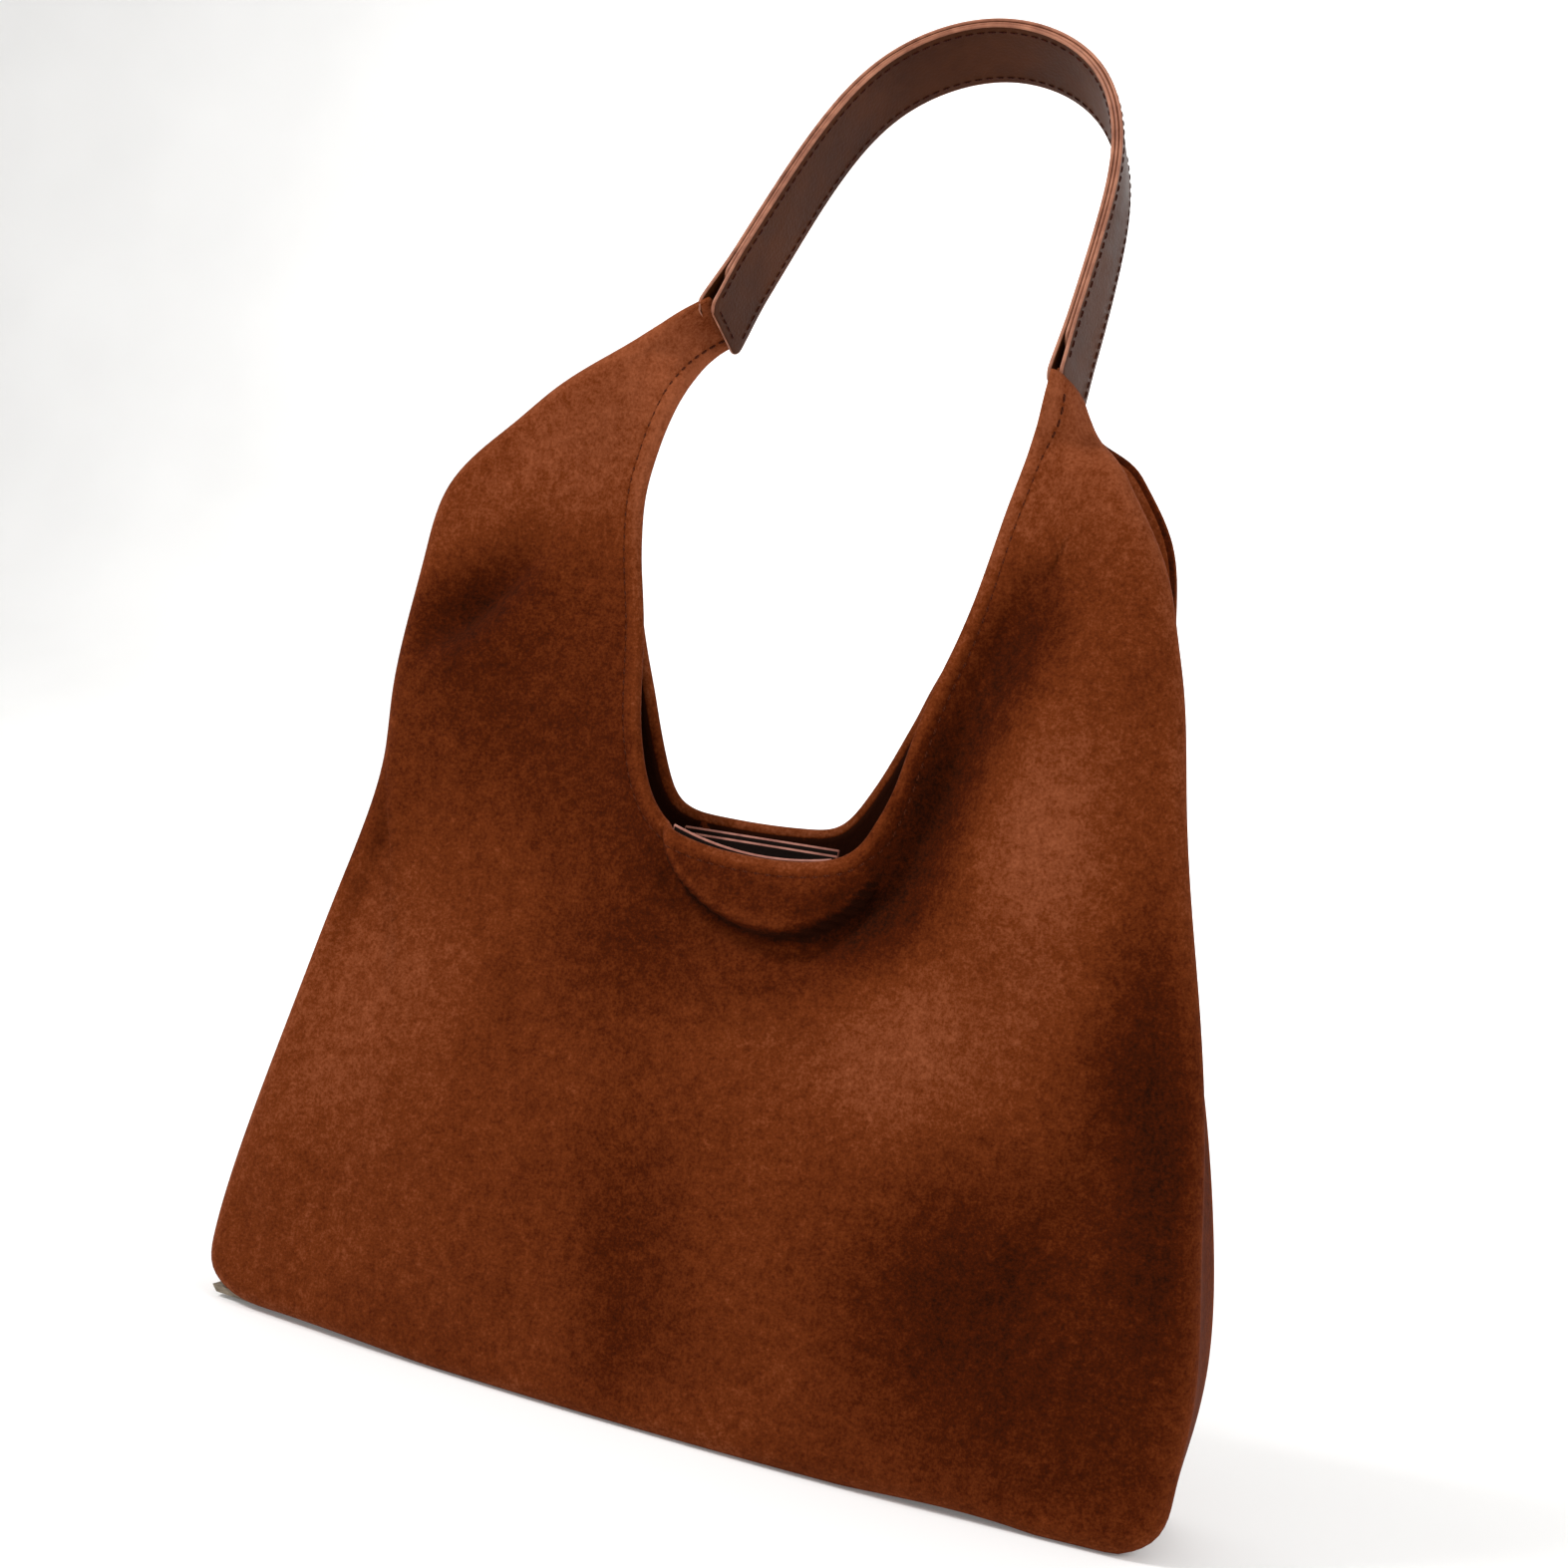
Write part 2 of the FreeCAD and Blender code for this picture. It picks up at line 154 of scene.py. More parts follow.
# The tabs in the mouth have two leathers each. The far one lies TAB_STEP lower on the front tab, and higher
# on the back tab.
TAB_MIDDLE = 1.0
BACK_TAB_OFFSET = -5.0
FRONT_TAB_LIFT = 0.4
BACK_TAB_LIFT = -0.2
TAB_STEP = 2.3
TAB_HALF_WIDTH = 32.0
TAB_LENGTH = 36.0
TAB_CORNER = 5.0
TAB_ROOM = 18.9
TAB_ROOM_MARGIN = 9
TAB_ROOM_LOW = 158
TAB_ROOM_HIGH = 230
TAB_SETBACK = 0.5


# ---------------------------------------------------------------- curves

def smooth(t):
    """Smooth step from 0 to 1."""
    t = np.clip(t, 0, 1)
    return t * t * (3 - 2 * t)


def spline(points, breaks, counts):
    """Points on the natural cubic spline through a few knots, with counts[i] even steps after break i."""
    knots = np.array(points, float)
    gaps = np.linalg.norm(np.diff(knots, axis=0), axis=1)
    along = np.concatenate(([0.0], np.cumsum(gaps)))
    last = len(knots) - 1
    system = np.eye(len(knots))
    turn = np.zeros_like(knots)
    for i in range(1, last):
        system[i, i - 1:i + 2] = gaps[i - 1], 2 * (gaps[i - 1] + gaps[i]), gaps[i]
        turn[i] = 6 * ((knots[i + 1] - knots[i]) / gaps[i] - (knots[i] - knots[i - 1]) / gaps[i - 1])
    bend = np.linalg.solve(system, turn)
    legs = [np.linspace(along[a], along[b], n, endpoint=False) for a, b, n in zip(breaks, breaks[1:], counts)]
    where = np.concatenate(legs + [[along[-1]]])
    i = np.clip(np.searchsorted(along, where, side="right") - 1, 0, last - 1)
    gap = gaps[i][:, None]
    past = (where - along[i])[:, None]
    left = gap - past
    cubic = (bend[i] * left ** 3 + bend[i + 1] * past ** 3) / (6 * gap)
    from_start = knots[i] / gap - bend[i] * gap / 6
    from_end = knots[i + 1] / gap - bend[i + 1] * gap / 6
    return cubic + from_start * left + from_end * past


def normals_2d(path, side):
    """Unit normals of a front-view path, to its left (side 1) or right (side -1)."""
    along = np.gradient(path, axis=0)
    along /= np.linalg.norm(along, axis=1)[:, None]
    return side * np.stack([-along[:, 1], along[:, 0]], axis=1)


def arc_lengths(path):
    """Distance of each point along a path."""
    steps = np.linalg.norm(np.diff(path, axis=0), axis=1)
    return np.concatenate(([0.0], np.cumsum(steps)))


def resample(path, pitch):
    """Points a pitch apart along a 3-D path, with their directions and their distances along it."""
    lengths = arc_lengths(path)
    at = np.arange(pitch, lengths[-1] - pitch, pitch)
    points = np.stack([np.interp(at, lengths, path[:, k]) for k in range(3)], axis=1)
    ahead = np.stack([np.interp(at + 1, lengths, path[:, k]) for k in range(3)], axis=1)
    return points, unit(ahead - points), at


def unit(vectors):
    """Vectors of the same directions and length 1."""
    return vectors / np.maximum(np.linalg.norm(vectors, axis=-1, keepdims=True), 1e-9)


def corner_width(past, radius):
    """Half width left in a rounded corner, a distance past its start."""
    return np.sqrt(radius ** 2 - np.clip(past, 0, radius) ** 2)


# ---------------------------------------------------------------- relief of the soft walls

# Folds and dents as (path, height, width on its left, width on its right); heights stand out of the wall.
FRONT_FOLDS = [
    ([(-149, 264), (-134, 276), (-117, 297), (-104, 314)], -8.0, 13, 6),
    ([(-157, 262), (-130, 268), (-108, 288)], 2.5, 9, 14),
    ([(90, 326), (78, 296), (72, 266), (66, 238), (56, 212), (36, 190)], -11.0, 15, 9),
    ([(124, 332), (110, 262), (100, 205), (82, 150), (68, 100)], 4.0, 24, 26),
    ([(104, 320), (98, 294)], -3.0, 12, 12),
    ([(-151, 216), (-139, 165), (-121, 106), (-112, 78)], 3.0, 7, 10),
    ([(-22, 112), (-8, 62), (8, 10)], -4.0, 16, 12),
    ([(170, 178), (151, 130), (128, 80), (112, 48)], -6.0, 16, 13),
    ([(153, 152), (137, 114), (121, 84)], 2.2, 8, 8),
    ([(148, 10), (164, 17), (181, 27)], -3.0, 6, 6),
    ([(-58, 216), (-70, 150), (-78, 88)], -3.0, 22, 20),
    ([(-84, 300), (-92, 240), (-98, 196)], -2.5, 26, 22),
    ([(-172, 92), (-160, 58), (-150, 20)], 2.2, 10, 12),
    ([(-30, 198), (-16, 158), (22, 142), (54, 150)], -1.8, 7, 13),
    ([(-50, 68), (-62, 36), (-66, 8)], 2.0, 12, 14),
    ([(60, 70), (72, 34), (76, 6)], 2.2, 14, 16),
    ([(36.5, 208), (37, 197)], 1.7, 2.4, 2.0),
]
BACK_FOLDS = [
    ([(-134, 300), (-118, 262), (-112, 220)], -5.0, 12, 16),
    ([(-96, 300), (-84, 240), (-80, 180)], 3.5, 18, 20),
    ([(-66, 236), (-46, 200), (-20, 182), (14, 178), (44, 196), (56, 226)], -4.0, 7, 12),
    ([(112, 320), (104, 262), (110, 212)], -5.0, 14, 14),
    ([(80, 240), (84, 170), (96, 100)], 3.5, 22, 20),
    ([(-20, 160), (-30, 100), (-28, 40)], -4.0, 18, 18),
    ([(-160, 180), (-140, 120), (-136, 60)], -5.0, 16, 16),
    ([(150, 160), (140, 100), (150, 40)], -4.5, 14, 18),
    ([(40, 120), (44, 60), (36, 10)], 3.0, 18, 16),
]

# The lip: the front tab pushes the middle of the rim out over a curved fold, and the back tab does so less.
LIP_MIDDLE = 16.0
LIP_LEFT = 49.0
LIP_RIGHT = 38.0
LIP_LOW = 184.0
LIP_RISE = 22.0
LIP_END_RISE = 12.0
FRONT_LIP_PUSH = 7.0
FRONT_LIP_DROP = 3.0
BACK_LIP_PUSH = 2.5
BACK_LIP_DROP = 1.5
BACK_LIP_HIGHER = 8

# The crease at the lower left, upwards, and how far the wall falls back behind it.
CREASE_X = [-118, -126, -133, -141, -149, -153, -160]
CREASE_Z = [95, 129, 155, 185, 212, 226, 236]
CREASE_DEPTH = 7.0

# Unevenness of the cloth, as (seed, size, height).
UNDULATIONS = [(3.0, 62.0, 2.6), (9.0, 24.0, 0.9)]
FOLD_SAMPLES = 24


def fold_height(x, z, path, height, width_left, width_right):
    """A ridge or valley that follows a short curve and fades at both ends."""
    line = spline(path, (0, len(path) - 1), (FOLD_SAMPLES,))
    best = np.full(x.shape, 1e9)
    total = np.zeros(x.shape)
    for i in range(FOLD_SAMPLES):
        start, step = line[i], line[i + 1] - line[i]
        along = ((x - start[0]) * step[0] + (z - start[1]) * step[1]) / (step @ step)
        near = np.clip(along, 0, 1)
        dx, dz = x - start[0] - near * step[0], z - start[1] - near * step[1]
        gap = np.hypot(dx, dz)
        side = step[0] * dz - step[1] * dx
        width = np.where(side > 0, width_left, width_right)
        fraction = (i + near) / FOLD_SAMPLES
        taper = 0.35 + 0.65 * np.sin(math.pi * np.clip(fraction, 0, 1))
        value = height * np.exp(-(gap / width) ** 2) * taper
        closer = gap < best
        best = np.where(closer, gap, best)
        total = np.where(closer, value, total)
    return total


def crease_step(x, z):
    """Left of the crease the wall falls back, most near the crease's top."""
    behind = np.interp(z, CREASE_Z, CREASE_X) - x
    strength = smooth((z - 100) / 90) * smooth((240 - z) / 16)
    return -CREASE_DEPTH * strength * smooth((behind + 1.0) / 3.2)


def lip_place(x, z):
    """Height above the curved fold under the middle of the rim, and how the fold fades at its ends."""
    across = np.clip(np.abs(x - LIP_MIDDLE) / np.where(x < LIP_MIDDLE, LIP_LEFT, LIP_RIGHT), 0, 1)
    above = z - (LIP_LOW + LIP_RISE * across ** 2 + LIP_END_RISE * across ** 8)
    return above, 1 - smooth((across - 0.86) / 0.14)


def lip_height(x, z, push, drop):
    """Pushes the middle of the rim out, down to a sharp curved fold, with a shallow valley under it."""
    above, fade = lip_place(x, z)
    inside = smooth((above + 1.0) / 2.4) * (1 - 0.45 * smooth((above - 8) / 24))
    below = np.exp(-((above + 5) / 8.0) ** 2)
    return fade * (push * inside - drop * below * (1 - inside))


def undulation(x, z, seed, size, height):
    """Uneven cloth: smooth seeded noise over the wall."""
    flat_x, flat_z = x.ravel(), z.ravel()
    values = [noise.noise(Vector((a / size, seed, b / size))) for a, b in zip(flat_x, flat_z)]
    return height * np.array(values).reshape(x.shape)


def half_depth(x, z):
    """Half of the bag's outer depth at a point of the front view."""
    side = HALF_DEPTH_SIDE + (HALF_DEPTH_TIP - HALF_DEPTH_SIDE) * z / BAG_HEIGHT
    middle = HALF_DEPTH_TIP + (HALF_DEPTH_MIDDLE - HALF_DEPTH_TIP) * np.exp(-(z / BELLY_HEIGHT) ** 2)
    return side + (middle - side) * (1 - (x / HALF_WIDTH) ** 2)


def wall_depth(side, x, z, to_mouth, to_edge):
    """Distance of the front (-1) or back (1) wall from the middle plane, with its folds."""
    pinch = PINCH * smooth((z - PINCH_LOW) / PINCH_REACH) * np.exp(-(to_mouth / PINCH_WIDTH) ** 2)
    depth = half_depth(x, z) * (1 - pinch)
    folds = FRONT_FOLDS if side < 0 else BACK_FOLDS
    relief = np.zeros(x.shape)
    for path, height, width_left, width_right in folds:
        relief += fold_height(x, z, path, height, width_left, width_right)
    if side < 0:
        relief += crease_step(x, z) + lip_height(x, z, FRONT_LIP_PUSH, FRONT_LIP_DROP)
    else:
        relief += lip_height(x, z - BACK_LIP_HIGHER, BACK_LIP_PUSH, BACK_LIP_DROP)
    for seed, size, height in UNDULATIONS:
        relief += undulation(x, z, seed + side, size, height)
    depth = depth + relief * smooth(to_edge / FOLD_EDGE)
    over_tab = smooth((TAB_HALF_WIDTH + TAB_ROOM_MARGIN - np.abs(x - TAB_MIDDLE)) / 8)
    over_tab *= smooth((z - TAB_ROOM_LOW) / 10)
    return np.maximum(depth, TAB_ROOM * over_tab * smooth((TAB_ROOM_HIGH - z) / 8))


# ---------------------------------------------------------------- strap frame and horn tips

def strap_frames():
    """Middle, direction, width direction (near to far) and inner face's normal along the leaned strap."""
    line = spline(STRAP_PATH, (0, len(STRAP_PATH) - 1), (STRAP_STATIONS,))
    tangent = unit(np.gradient(line, axis=0))
    lean_y, lean_z = math.sin(STRAP_LEAN), math.cos(STRAP_LEAN)

    def lean(x, up):
        return np.stack([x, up * lean_y, up * lean_z], axis=1)

    middle = lean(line[:, 0], line[:, 1] - STRAP_LEAN_HEIGHT) + [0, 0, STRAP_LEAN_HEIGHT]
    along = lean(tangent[:, 0], tangent[:, 1])
    lengths = arc_lengths(middle)
    twist = STRAP_TWIST_LEFT * smooth(1 - lengths / TWIST_REACH)
    twist += STRAP_TWIST_RIGHT * smooth(1 - (lengths[-1] - lengths) / TWIST_REACH)
    across = np.array([0, lean_z, -lean_y]) * np.cos(twist)[:, None]
    across += np.array([1.0, 0, 0]) * np.sin(twist)[:, None]
    across = unit(across - along * np.sum(across * along, axis=1)[:, None])
    inner = unit(np.cross(across, along))
    return middle, along, across, inner


STRAP = strap_frames()

# A horn's end is drawn to the strap over HORN_REACH, and its layers get thinner over TIP_SQUEEZE_REACH.
HORN_REACH = 34.0
HORN_GRIP = 7.0
TIP_SQUEEZE = 0.3
TIP_SQUEEZE_REACH = 30.0

# A wall's end runs across the strap: where it starts, off the strap's middle, and how far it spans.
LEFT_TIP_START = 13.5
LEFT_TIP_SPAN_FRONT = 29.0
LEFT_TIP_SPAN_BACK = 27.0
LEFT_TIP_GAP = 0.5
RIGHT_TIP_START = -14
RIGHT_TIP_SPAN = 27.5
RIGHT_TIP_GAP = 0.2

# The right horn's front layer wraps the strap's near edge and outer face: its mouth end and outer end.
RIGHT_TIP_MOUTH = np.array([82.8, -19.0, 403.0])
RIGHT_TIP_OUTER = np.array([89.6, 13.5, 396.5])
RIGHT_TIP_BULGE = 3.2


def horn_target(side, at_left, q):
    """Where the end of a wall lies at the strap, for q from 0 at its mouth edge to 1 at its outer edge."""
    middle, _, across, inner = STRAP
    q = q[..., None]
    if at_left:
        lift = inner[0] * (-side * (FORK_OPEN_LEFT + LEFT_TIP_GAP))
        span = LEFT_TIP_SPAN_FRONT if side < 0 else LEFT_TIP_SPAN_BACK
        return middle[2] + across[0] * (LEFT_TIP_START - span * q) + lift
    if side < 0:
        bulge = np.sin(math.pi * np.clip(q, 0, 1)) ** 0.4 * RIGHT_TIP_BULGE
        return RIGHT_TIP_MOUTH * (1 - q) + RIGHT_TIP_OUTER * q + np.array([1.0, 0, 0]) * bulge
    return middle[-3] + across[-1] * (RIGHT_TIP_SPAN * q + RIGHT_TIP_START) - inner[-1] * RIGHT_TIP_GAP


def tip_squeeze(gap):
    """Rolls and layers get thinner towards the end of a horn."""
    return TIP_SQUEEZE + (1 - TIP_SQUEEZE) * smooth(gap / TIP_SQUEEZE_REACH)


def bend_horn(points, side, across, depth_in, gap, at_left):
    """Shifts the end of a horn to the strap. The shift fades away from the tip."""
    tip = 0 if at_left else -1
    face = STRAP[3][0] * -side if at_left else np.array([-side * 1.0, 0, 0])
    target = horn_target(side, at_left, across[:, tip]) - face * depth_in[:, tip, None]
    strength = smooth((HORN_REACH - gap) / (HORN_REACH - HORN_GRIP))
    return points + (target - points[:, tip])[:, None] * strength[None, :, None]


# ---------------------------------------------------------------- the shell's mapping

class Wall:
    """Front or back wall of the bag: its outlines, and points on it anywhere between them."""

    def __init__(self, side):
        self.side = side
        outer, breaks = (FRONT_OUTER, FRONT_OUTER_BREAKS) if side < 0 else (BACK_OUTER, BACK_OUTER_BREAKS)
        mouth = FRONT_MOUTH if side < 0 else BACK_MOUTH
        self.outer = spline(outer, breaks, COLUMNS)
        self.outer[:, 1] = np.maximum(self.outer[:, 1], BASE_HEIGHT)
        self.mouth = spline(mouth, MOUTH_BREAKS, COLUMNS)
        self.into_from_mouth = normals_2d(self.mouth, -1)
        self.into_from_outer = normals_2d(self.outer, 1)
        self.reach = np.linalg.norm(self.outer - self.mouth, axis=1)
        self.near = np.minimum(9.0, 0.36 * self.reach)
        self.far = np.minimum(SEAM_RADIUS + 2, 0.36 * self.reach)
        self.gap_left = (arc_lengths(self.outer) + arc_lengths(self.mouth)) / 2
        self.gap_right = (arc_lengths(self.outer[::-1]) + arc_lengths(self.mouth[::-1]))[::-1] / 2
        self.squeeze = tip_squeeze(np.minimum(self.gap_left, self.gap_right))

    def near_mouth(self, offset):
        """Row of points a distance inside the mouth's edge."""
        return self.mouth + self.into_from_mouth * (offset * self.near / 9.0)[:, None]

    def near_outer(self, offset):
        """Row of points a distance inside the outer edge."""
        return self.outer + self.into_from_outer * (offset * self.far / (SEAM_RADIUS + 2))[:, None]

    def between(self, fraction):
        """Row of points on the open face, from 0 next to the rim to 1 next to the seam."""
        return self.near_mouth(9.0) * (1 - fraction) + self.near_outer(SEAM_RADIUS + 2) * fraction

    def place(self, rows, depth_in):
        """3-D points for rows of front-view points, each row at a depth under the wall's outer face."""
        flat = np.stack(rows)
        depth_in = np.array(depth_in, float)[:, None] * self.squeeze
        x, z = flat[..., 0], flat[..., 1]
        to_mouth = np.linalg.norm(flat - self.mouth, axis=2)
        to_edge = np.linalg.norm(flat - self.outer, axis=2)
        depth = wall_depth(self.side, x, z, to_mouth, to_edge)
        points = np.stack([x, self.side * (depth - depth_in), z], axis=2)
        across = np.clip(to_mouth / np.maximum(to_mouth + to_edge, 1e-6), 0, 1)
        points = bend_horn(points, self.side, across, depth_in, self.gap_left, True)
        return bend_horn(points, self.side, across, depth_in, self.gap_right, False)


FRONT = Wall(-1)
BACK = Wall(1)


# ---------------------------------------------------------------- meshes

def make_mesh(name, points, faces):
    """Smooth-shaded mesh in metres from points in millimetres."""
    mesh = bpy.data.meshes.new(name)
    mesh.from_pydata((np.asarray(points) * MM).tolist(), [], faces)
    mesh.validate()
    mesh.update()
    mesh.polygons.foreach_set("use_smooth", [True] * len(mesh.polygons))
    piece = bpy.data.objects.new(name, mesh)
    bpy.context.scene.collection.objects.link(piece)
    return piece


def grid_faces(rows, columns, flip):
    """Quads between the points of a grid."""
    faces = []
    for j in range(rows - 1):
        for i in range(columns - 1):
            a = j * columns + i
            quad = (a, a + 1, a + columns + 1, a + columns)
            faces.append(quad[::-1] if flip else quad)
    return faces


def tube_faces(rings, size):
    """Quads round a tube, from ring to ring."""
    faces = []
    for j in range(rings - 1):
        for k in range(size):
            a, b = j * size + k, j * size + (k + 1) % size
            faces.append((a, b, b + size, a + size))
    return faces


def sheet_mesh(name, grid, flip=False, thickness=SUEDE, thin=None):
    """Closed sheet from a grid of points on its outer face. thin scales the thickness of each column."""
    rows, columns = grid.shape[:2]
    piece = make_mesh(name, grid.reshape(-1, 3), grid_faces(rows, columns, flip))
    solid = piece.modifiers.new("thickness", "SOLIDIFY")
    solid.thickness = thickness * MM
    solid.offset = -1.0
    solid.use_rim = True
    if thin is not None:
        group = piece.vertex_groups.new(name="thickness")
        for column, weight in enumerate(thin):
            group.add([row * columns + column for row in range(rows)], float(weight), "REPLACE")
        solid.vertex_group = group.name
    settle(piece)
    piece.vertex_groups.clear()
    return piece


def settle(piece):
    """Replaces the mesh with what its modifiers make of it."""
    graph = bpy.context.evaluated_depsgraph_get()
    final = bpy.data.meshes.new_from_object(piece.evaluated_get(graph))
    piece.modifiers.clear()
    piece.data = final
    final.polygons.foreach_set("use_smooth", [True] * len(final.polygons))


def turn_outward(piece):
    """Turns a closed mesh's faces to its outside."""
    work = bmesh.new()
    work.from_mesh(piece.data)
    inside_out = work.calc_volume(signed=True) < 0
    work.free()
    if inside_out:
        piece.data.flip_normals()
    return piece


def join_parts(name, parts):
    """One mesh from several lists of points and faces."""
    points, faces, start = [], [], 0
    for part_points, part_faces in parts:
        points.append(np.asarray(part_points))
        faces += [tuple(v + start for v in face) for face in part_faces]
        start += len(part_points)
    return turn_outward(make_mesh(name, np.concatenate(points), faces))


def plate(name, middle, across, normal, half_width, half_thickness, columns, painted_ends=1):
    """Closed band with rounded edges, swept through rows of frames. Face material 1 is the painted edge."""
    flat = np.maximum(half_width - half_thickness, 0.05)
    ring = [(flat * (2 * k / (columns - 1) - 1), half_thickness) for k in range(columns)]
    for angle in np.radians((60, 30, 0, -30, -60)):
        ring.append((flat + half_thickness * math.cos(angle), half_thickness * math.sin(angle)))
    side = len(ring)
    ring += [(-u, -v) for u, v in ring]
    size = len(ring)
    count = len(middle)
    points = np.zeros((count, size, 3))
    for k, (u, v) in enumerate(ring):
        points[:, k] = middle + across * u[:, None] + normal * v[:, None]
    faces = tube_faces(count, size)
    paint = []
    for j in range(count - 1):
        at_end = j < painted_ends or j > count - 2 - painted_ends
        paint += [int(at_end or k % side >= columns - 1) for k in range(size)]
    opposite = side + columns - 1
    cap = [(k, opposite - k, opposite - k - 1, k + 1) for k in range(columns - 1)]
    cap.append(tuple(range(columns - 1, side + 1))[::-1])
    cap.append(tuple([*range(opposite, size), 0])[::-1])
    for face in cap:
        faces.append(face)
        faces.append(tuple((count - 1) * size + k for k in face[::-1]))
        paint += [1, 1]
    piece = make_mesh(name, points.reshape(-1, 3), faces)
    piece.data.polygons.foreach_set("material_index", paint)
    return turn_outward(piece)


def stitch_row(path, normals, radius=STITCH_RADIUS, rise=0.15):
    """Capsule-shaped stitches that arch along a path on a surface, raised by a part of their radius."""
    places, along, at = resample(path, STITCH_PITCH)
    lengths = arc_lengths(path)
    out = unit(np.stack([np.interp(at, lengths, normals[:, k]) for k in range(3)], axis=1))
    side = unit(np.cross(along, out))
    rings = [(-0.5, 0.15), (-0.46, 0.7), (-0.25, 1.0), (0.25, 1.0), (0.46, 0.7), (0.5, 0.15)]
    sides = 8
    parts = []
    for p, a, o, s in zip(places, along, out, side):
        points = []
        for reach, swell in rings:
            arch = radius * (STITCH_ARCH * (1 - (2 * reach) ** 2) + rise)
            for k in range(sides):
                angle = 2 * math.pi * k / sides
                height = math.sin(angle) * radius * swell * 0.8 + arch
                offset = s * math.cos(angle) * radius * swell + o * height
                points.append(p + a * reach * STITCH_LENGTH + offset)
        faces = tube_faces(len(rings), sides)
        faces.append(tuple(range(sides))[::-1])
        faces.append(tuple((len(rings) - 1) * sides + k for k in range(sides)))
        parts.append((points, faces))
    return parts


# ---------------------------------------------------------------- materials

def linear(red, green, blue):
    """Colour given as display values from 0 to 255, in the renderer's linear values."""
    values = []
    for v in (red, green, blue):
        v /= 255
        values.append(v / 12.92 if v <= 0.04045 else ((v + 0.055) / 1.055) ** 2.4)
    return (*values, 1)


class Nodes:
    """Short names for building one material's node tree."""

    def __init__(self, name):
        self.material = bpy.data.materials.new(name)
        self.material.use_nodes = True
        self.tree = self.material.node_tree
        self.shader = self.tree.nodes["Principled BSDF"]
        self.place = self.add("ShaderNodeTexCoord").outputs["Object"]

    def add(self, kind, **settings):
        node = self.tree.nodes.new(kind)
        for key, value in settings.items():
            setattr(node, key, value)
        return node

    def link(self, source, target):
        self.tree.links.new(source, target)

    def scaled(self, factors):
        node = self.add("ShaderNodeMapping")
        node.inputs["Scale"].default_value = factors
        self.link(self.place, node.inputs["Vector"])
        return node.outputs["Vector"]

    def texture(self, node, output, place, **values):
        for name, value in values.items():
            node.inputs[name].default_value = value
        self.link(place or self.place, node.inputs["Vector"])
        return node.outputs[output]

    def noise(self, scale, detail=2.0, rough=0.5, place=None, distortion=0.0):
        values = {"Scale": scale, "Detail": detail, "Roughness": rough, "Distortion": distortion}
        return self.texture(self.add("ShaderNodeTexNoise"), "Fac", place, **values)

    def voronoi(self, scale):
        return self.texture(self.add("ShaderNodeTexVoronoi"), "Distance", None, Scale=scale)

    def wave(self, scale, direction, place=None, distortion=0.0):
        node = self.add("ShaderNodeTexWave", bands_direction=direction)
        return self.texture(node, "Fac", place, Scale=scale, Distortion=distortion)

    def attribute(self, name):
        return self.add("ShaderNodeAttribute", attribute_name=name).outputs["Fac"]

    def math(self, operation, a, b):
        node = self.add("ShaderNodeMath", operation=operation)
        for socket, value in zip(node.inputs, (a, b)):
            if hasattr(value, "node"):
                self.link(value, socket)
            else:
                socket.default_value = value
        return node.outputs[0]

    def weighted(self, *parts, start=0.0):
        """A start value plus each part times its weight."""
        for part, weight in parts:
            start = self.math("ADD", self.math("MULTIPLY", part, weight), start)
        return start

    def ramp(self, value, stops):
        node = self.add("ShaderNodeValToRGB")
        elements = node.color_ramp.elements
        while len(elements) < len(stops):
            elements.new(0.5)
        for element, (position, colour) in zip(elements, stops):
            element.position = position
            element.color = colour
        self.link(value, node.inputs["Fac"])
        return node.outputs["Color"]

    def bump(self, height, distance, strength, under=None):
        node = self.add("ShaderNodeBump")
        node.inputs["Strength"].default_value = strength
        node.inputs["Distance"].default_value = distance
        self.link(height, node.inputs["Height"])
        if under is not None:
            self.link(under, node.inputs["Normal"])
        return node.outputs["Normal"]

    def finish(self, colour, roughness, normal=None, **constants):
        """Fills the shader's sockets, by a link from a node or with a plain value."""
        for name, source in (("Base Color", colour), ("Roughness", roughness), ("Normal", normal)):
            if source is None:
                continue
            socket = self.shader.inputs[name]
            if hasattr(source, "node"):
                self.link(source, socket)
            else:
                socket.default_value = source
        for name, value in constants.items():
            self.shader.inputs[name.replace("_", " ")].default_value = value
        return self.material


SUEDE_COLOURS = [
    (0.0, linear(30, 7, 0)), (0.3, linear(64, 20, 1)), (0.6, linear(97, 42, 13)), (1.0, linear(138, 75, 46)),
]


def suede_material():
    """Napped suede: brushed patches, fine mottling and fibres, and a soft sheen at the fibres' tips."""
    n = Nodes("suede")
    patches = n.noise(16, 3, 0.55, distortion=0.6)
    brushed = n.noise(7, 2, 0.5, n.scaled((1.6, 1.0, 0.7)), distortion=0.4)
    mottle = n.noise(210, 4, 0.62)
    fibre = n.noise(820, 3, 0.72)
    streak = n.noise(620, 2, 0.6, n.scaled((1.0, 1.0, 0.42)))
    # The nap_and_painted_light attribute adds brushed nap together with painted light and painted shade.
    parts = ((patches, 0.30), (brushed, 0.20), (mottle, 0.50), (fibre, 0.76), (n.attribute("nap_and_painted_light"), 0.42))
    value = n.weighted(*parts, start=-0.34)
    colour = n.ramp(value, SUEDE_COLOURS)
    normal = n.bump(mottle, 0.0007, 0.55)
    normal = n.bump(streak, 0.0004, 0.6, normal)
    normal = n.bump(fibre, 0.00028, 0.8, normal)
    rough = n.weighted((mottle, 0.12), start=0.86)
    return n.finish(colour, rough, normal, Specular_IOR_Level=0.05, Sheen_Weight=0.06, Sheen_Roughness=0.45,
                    Sheen_Tint=linear(205, 104, 50))


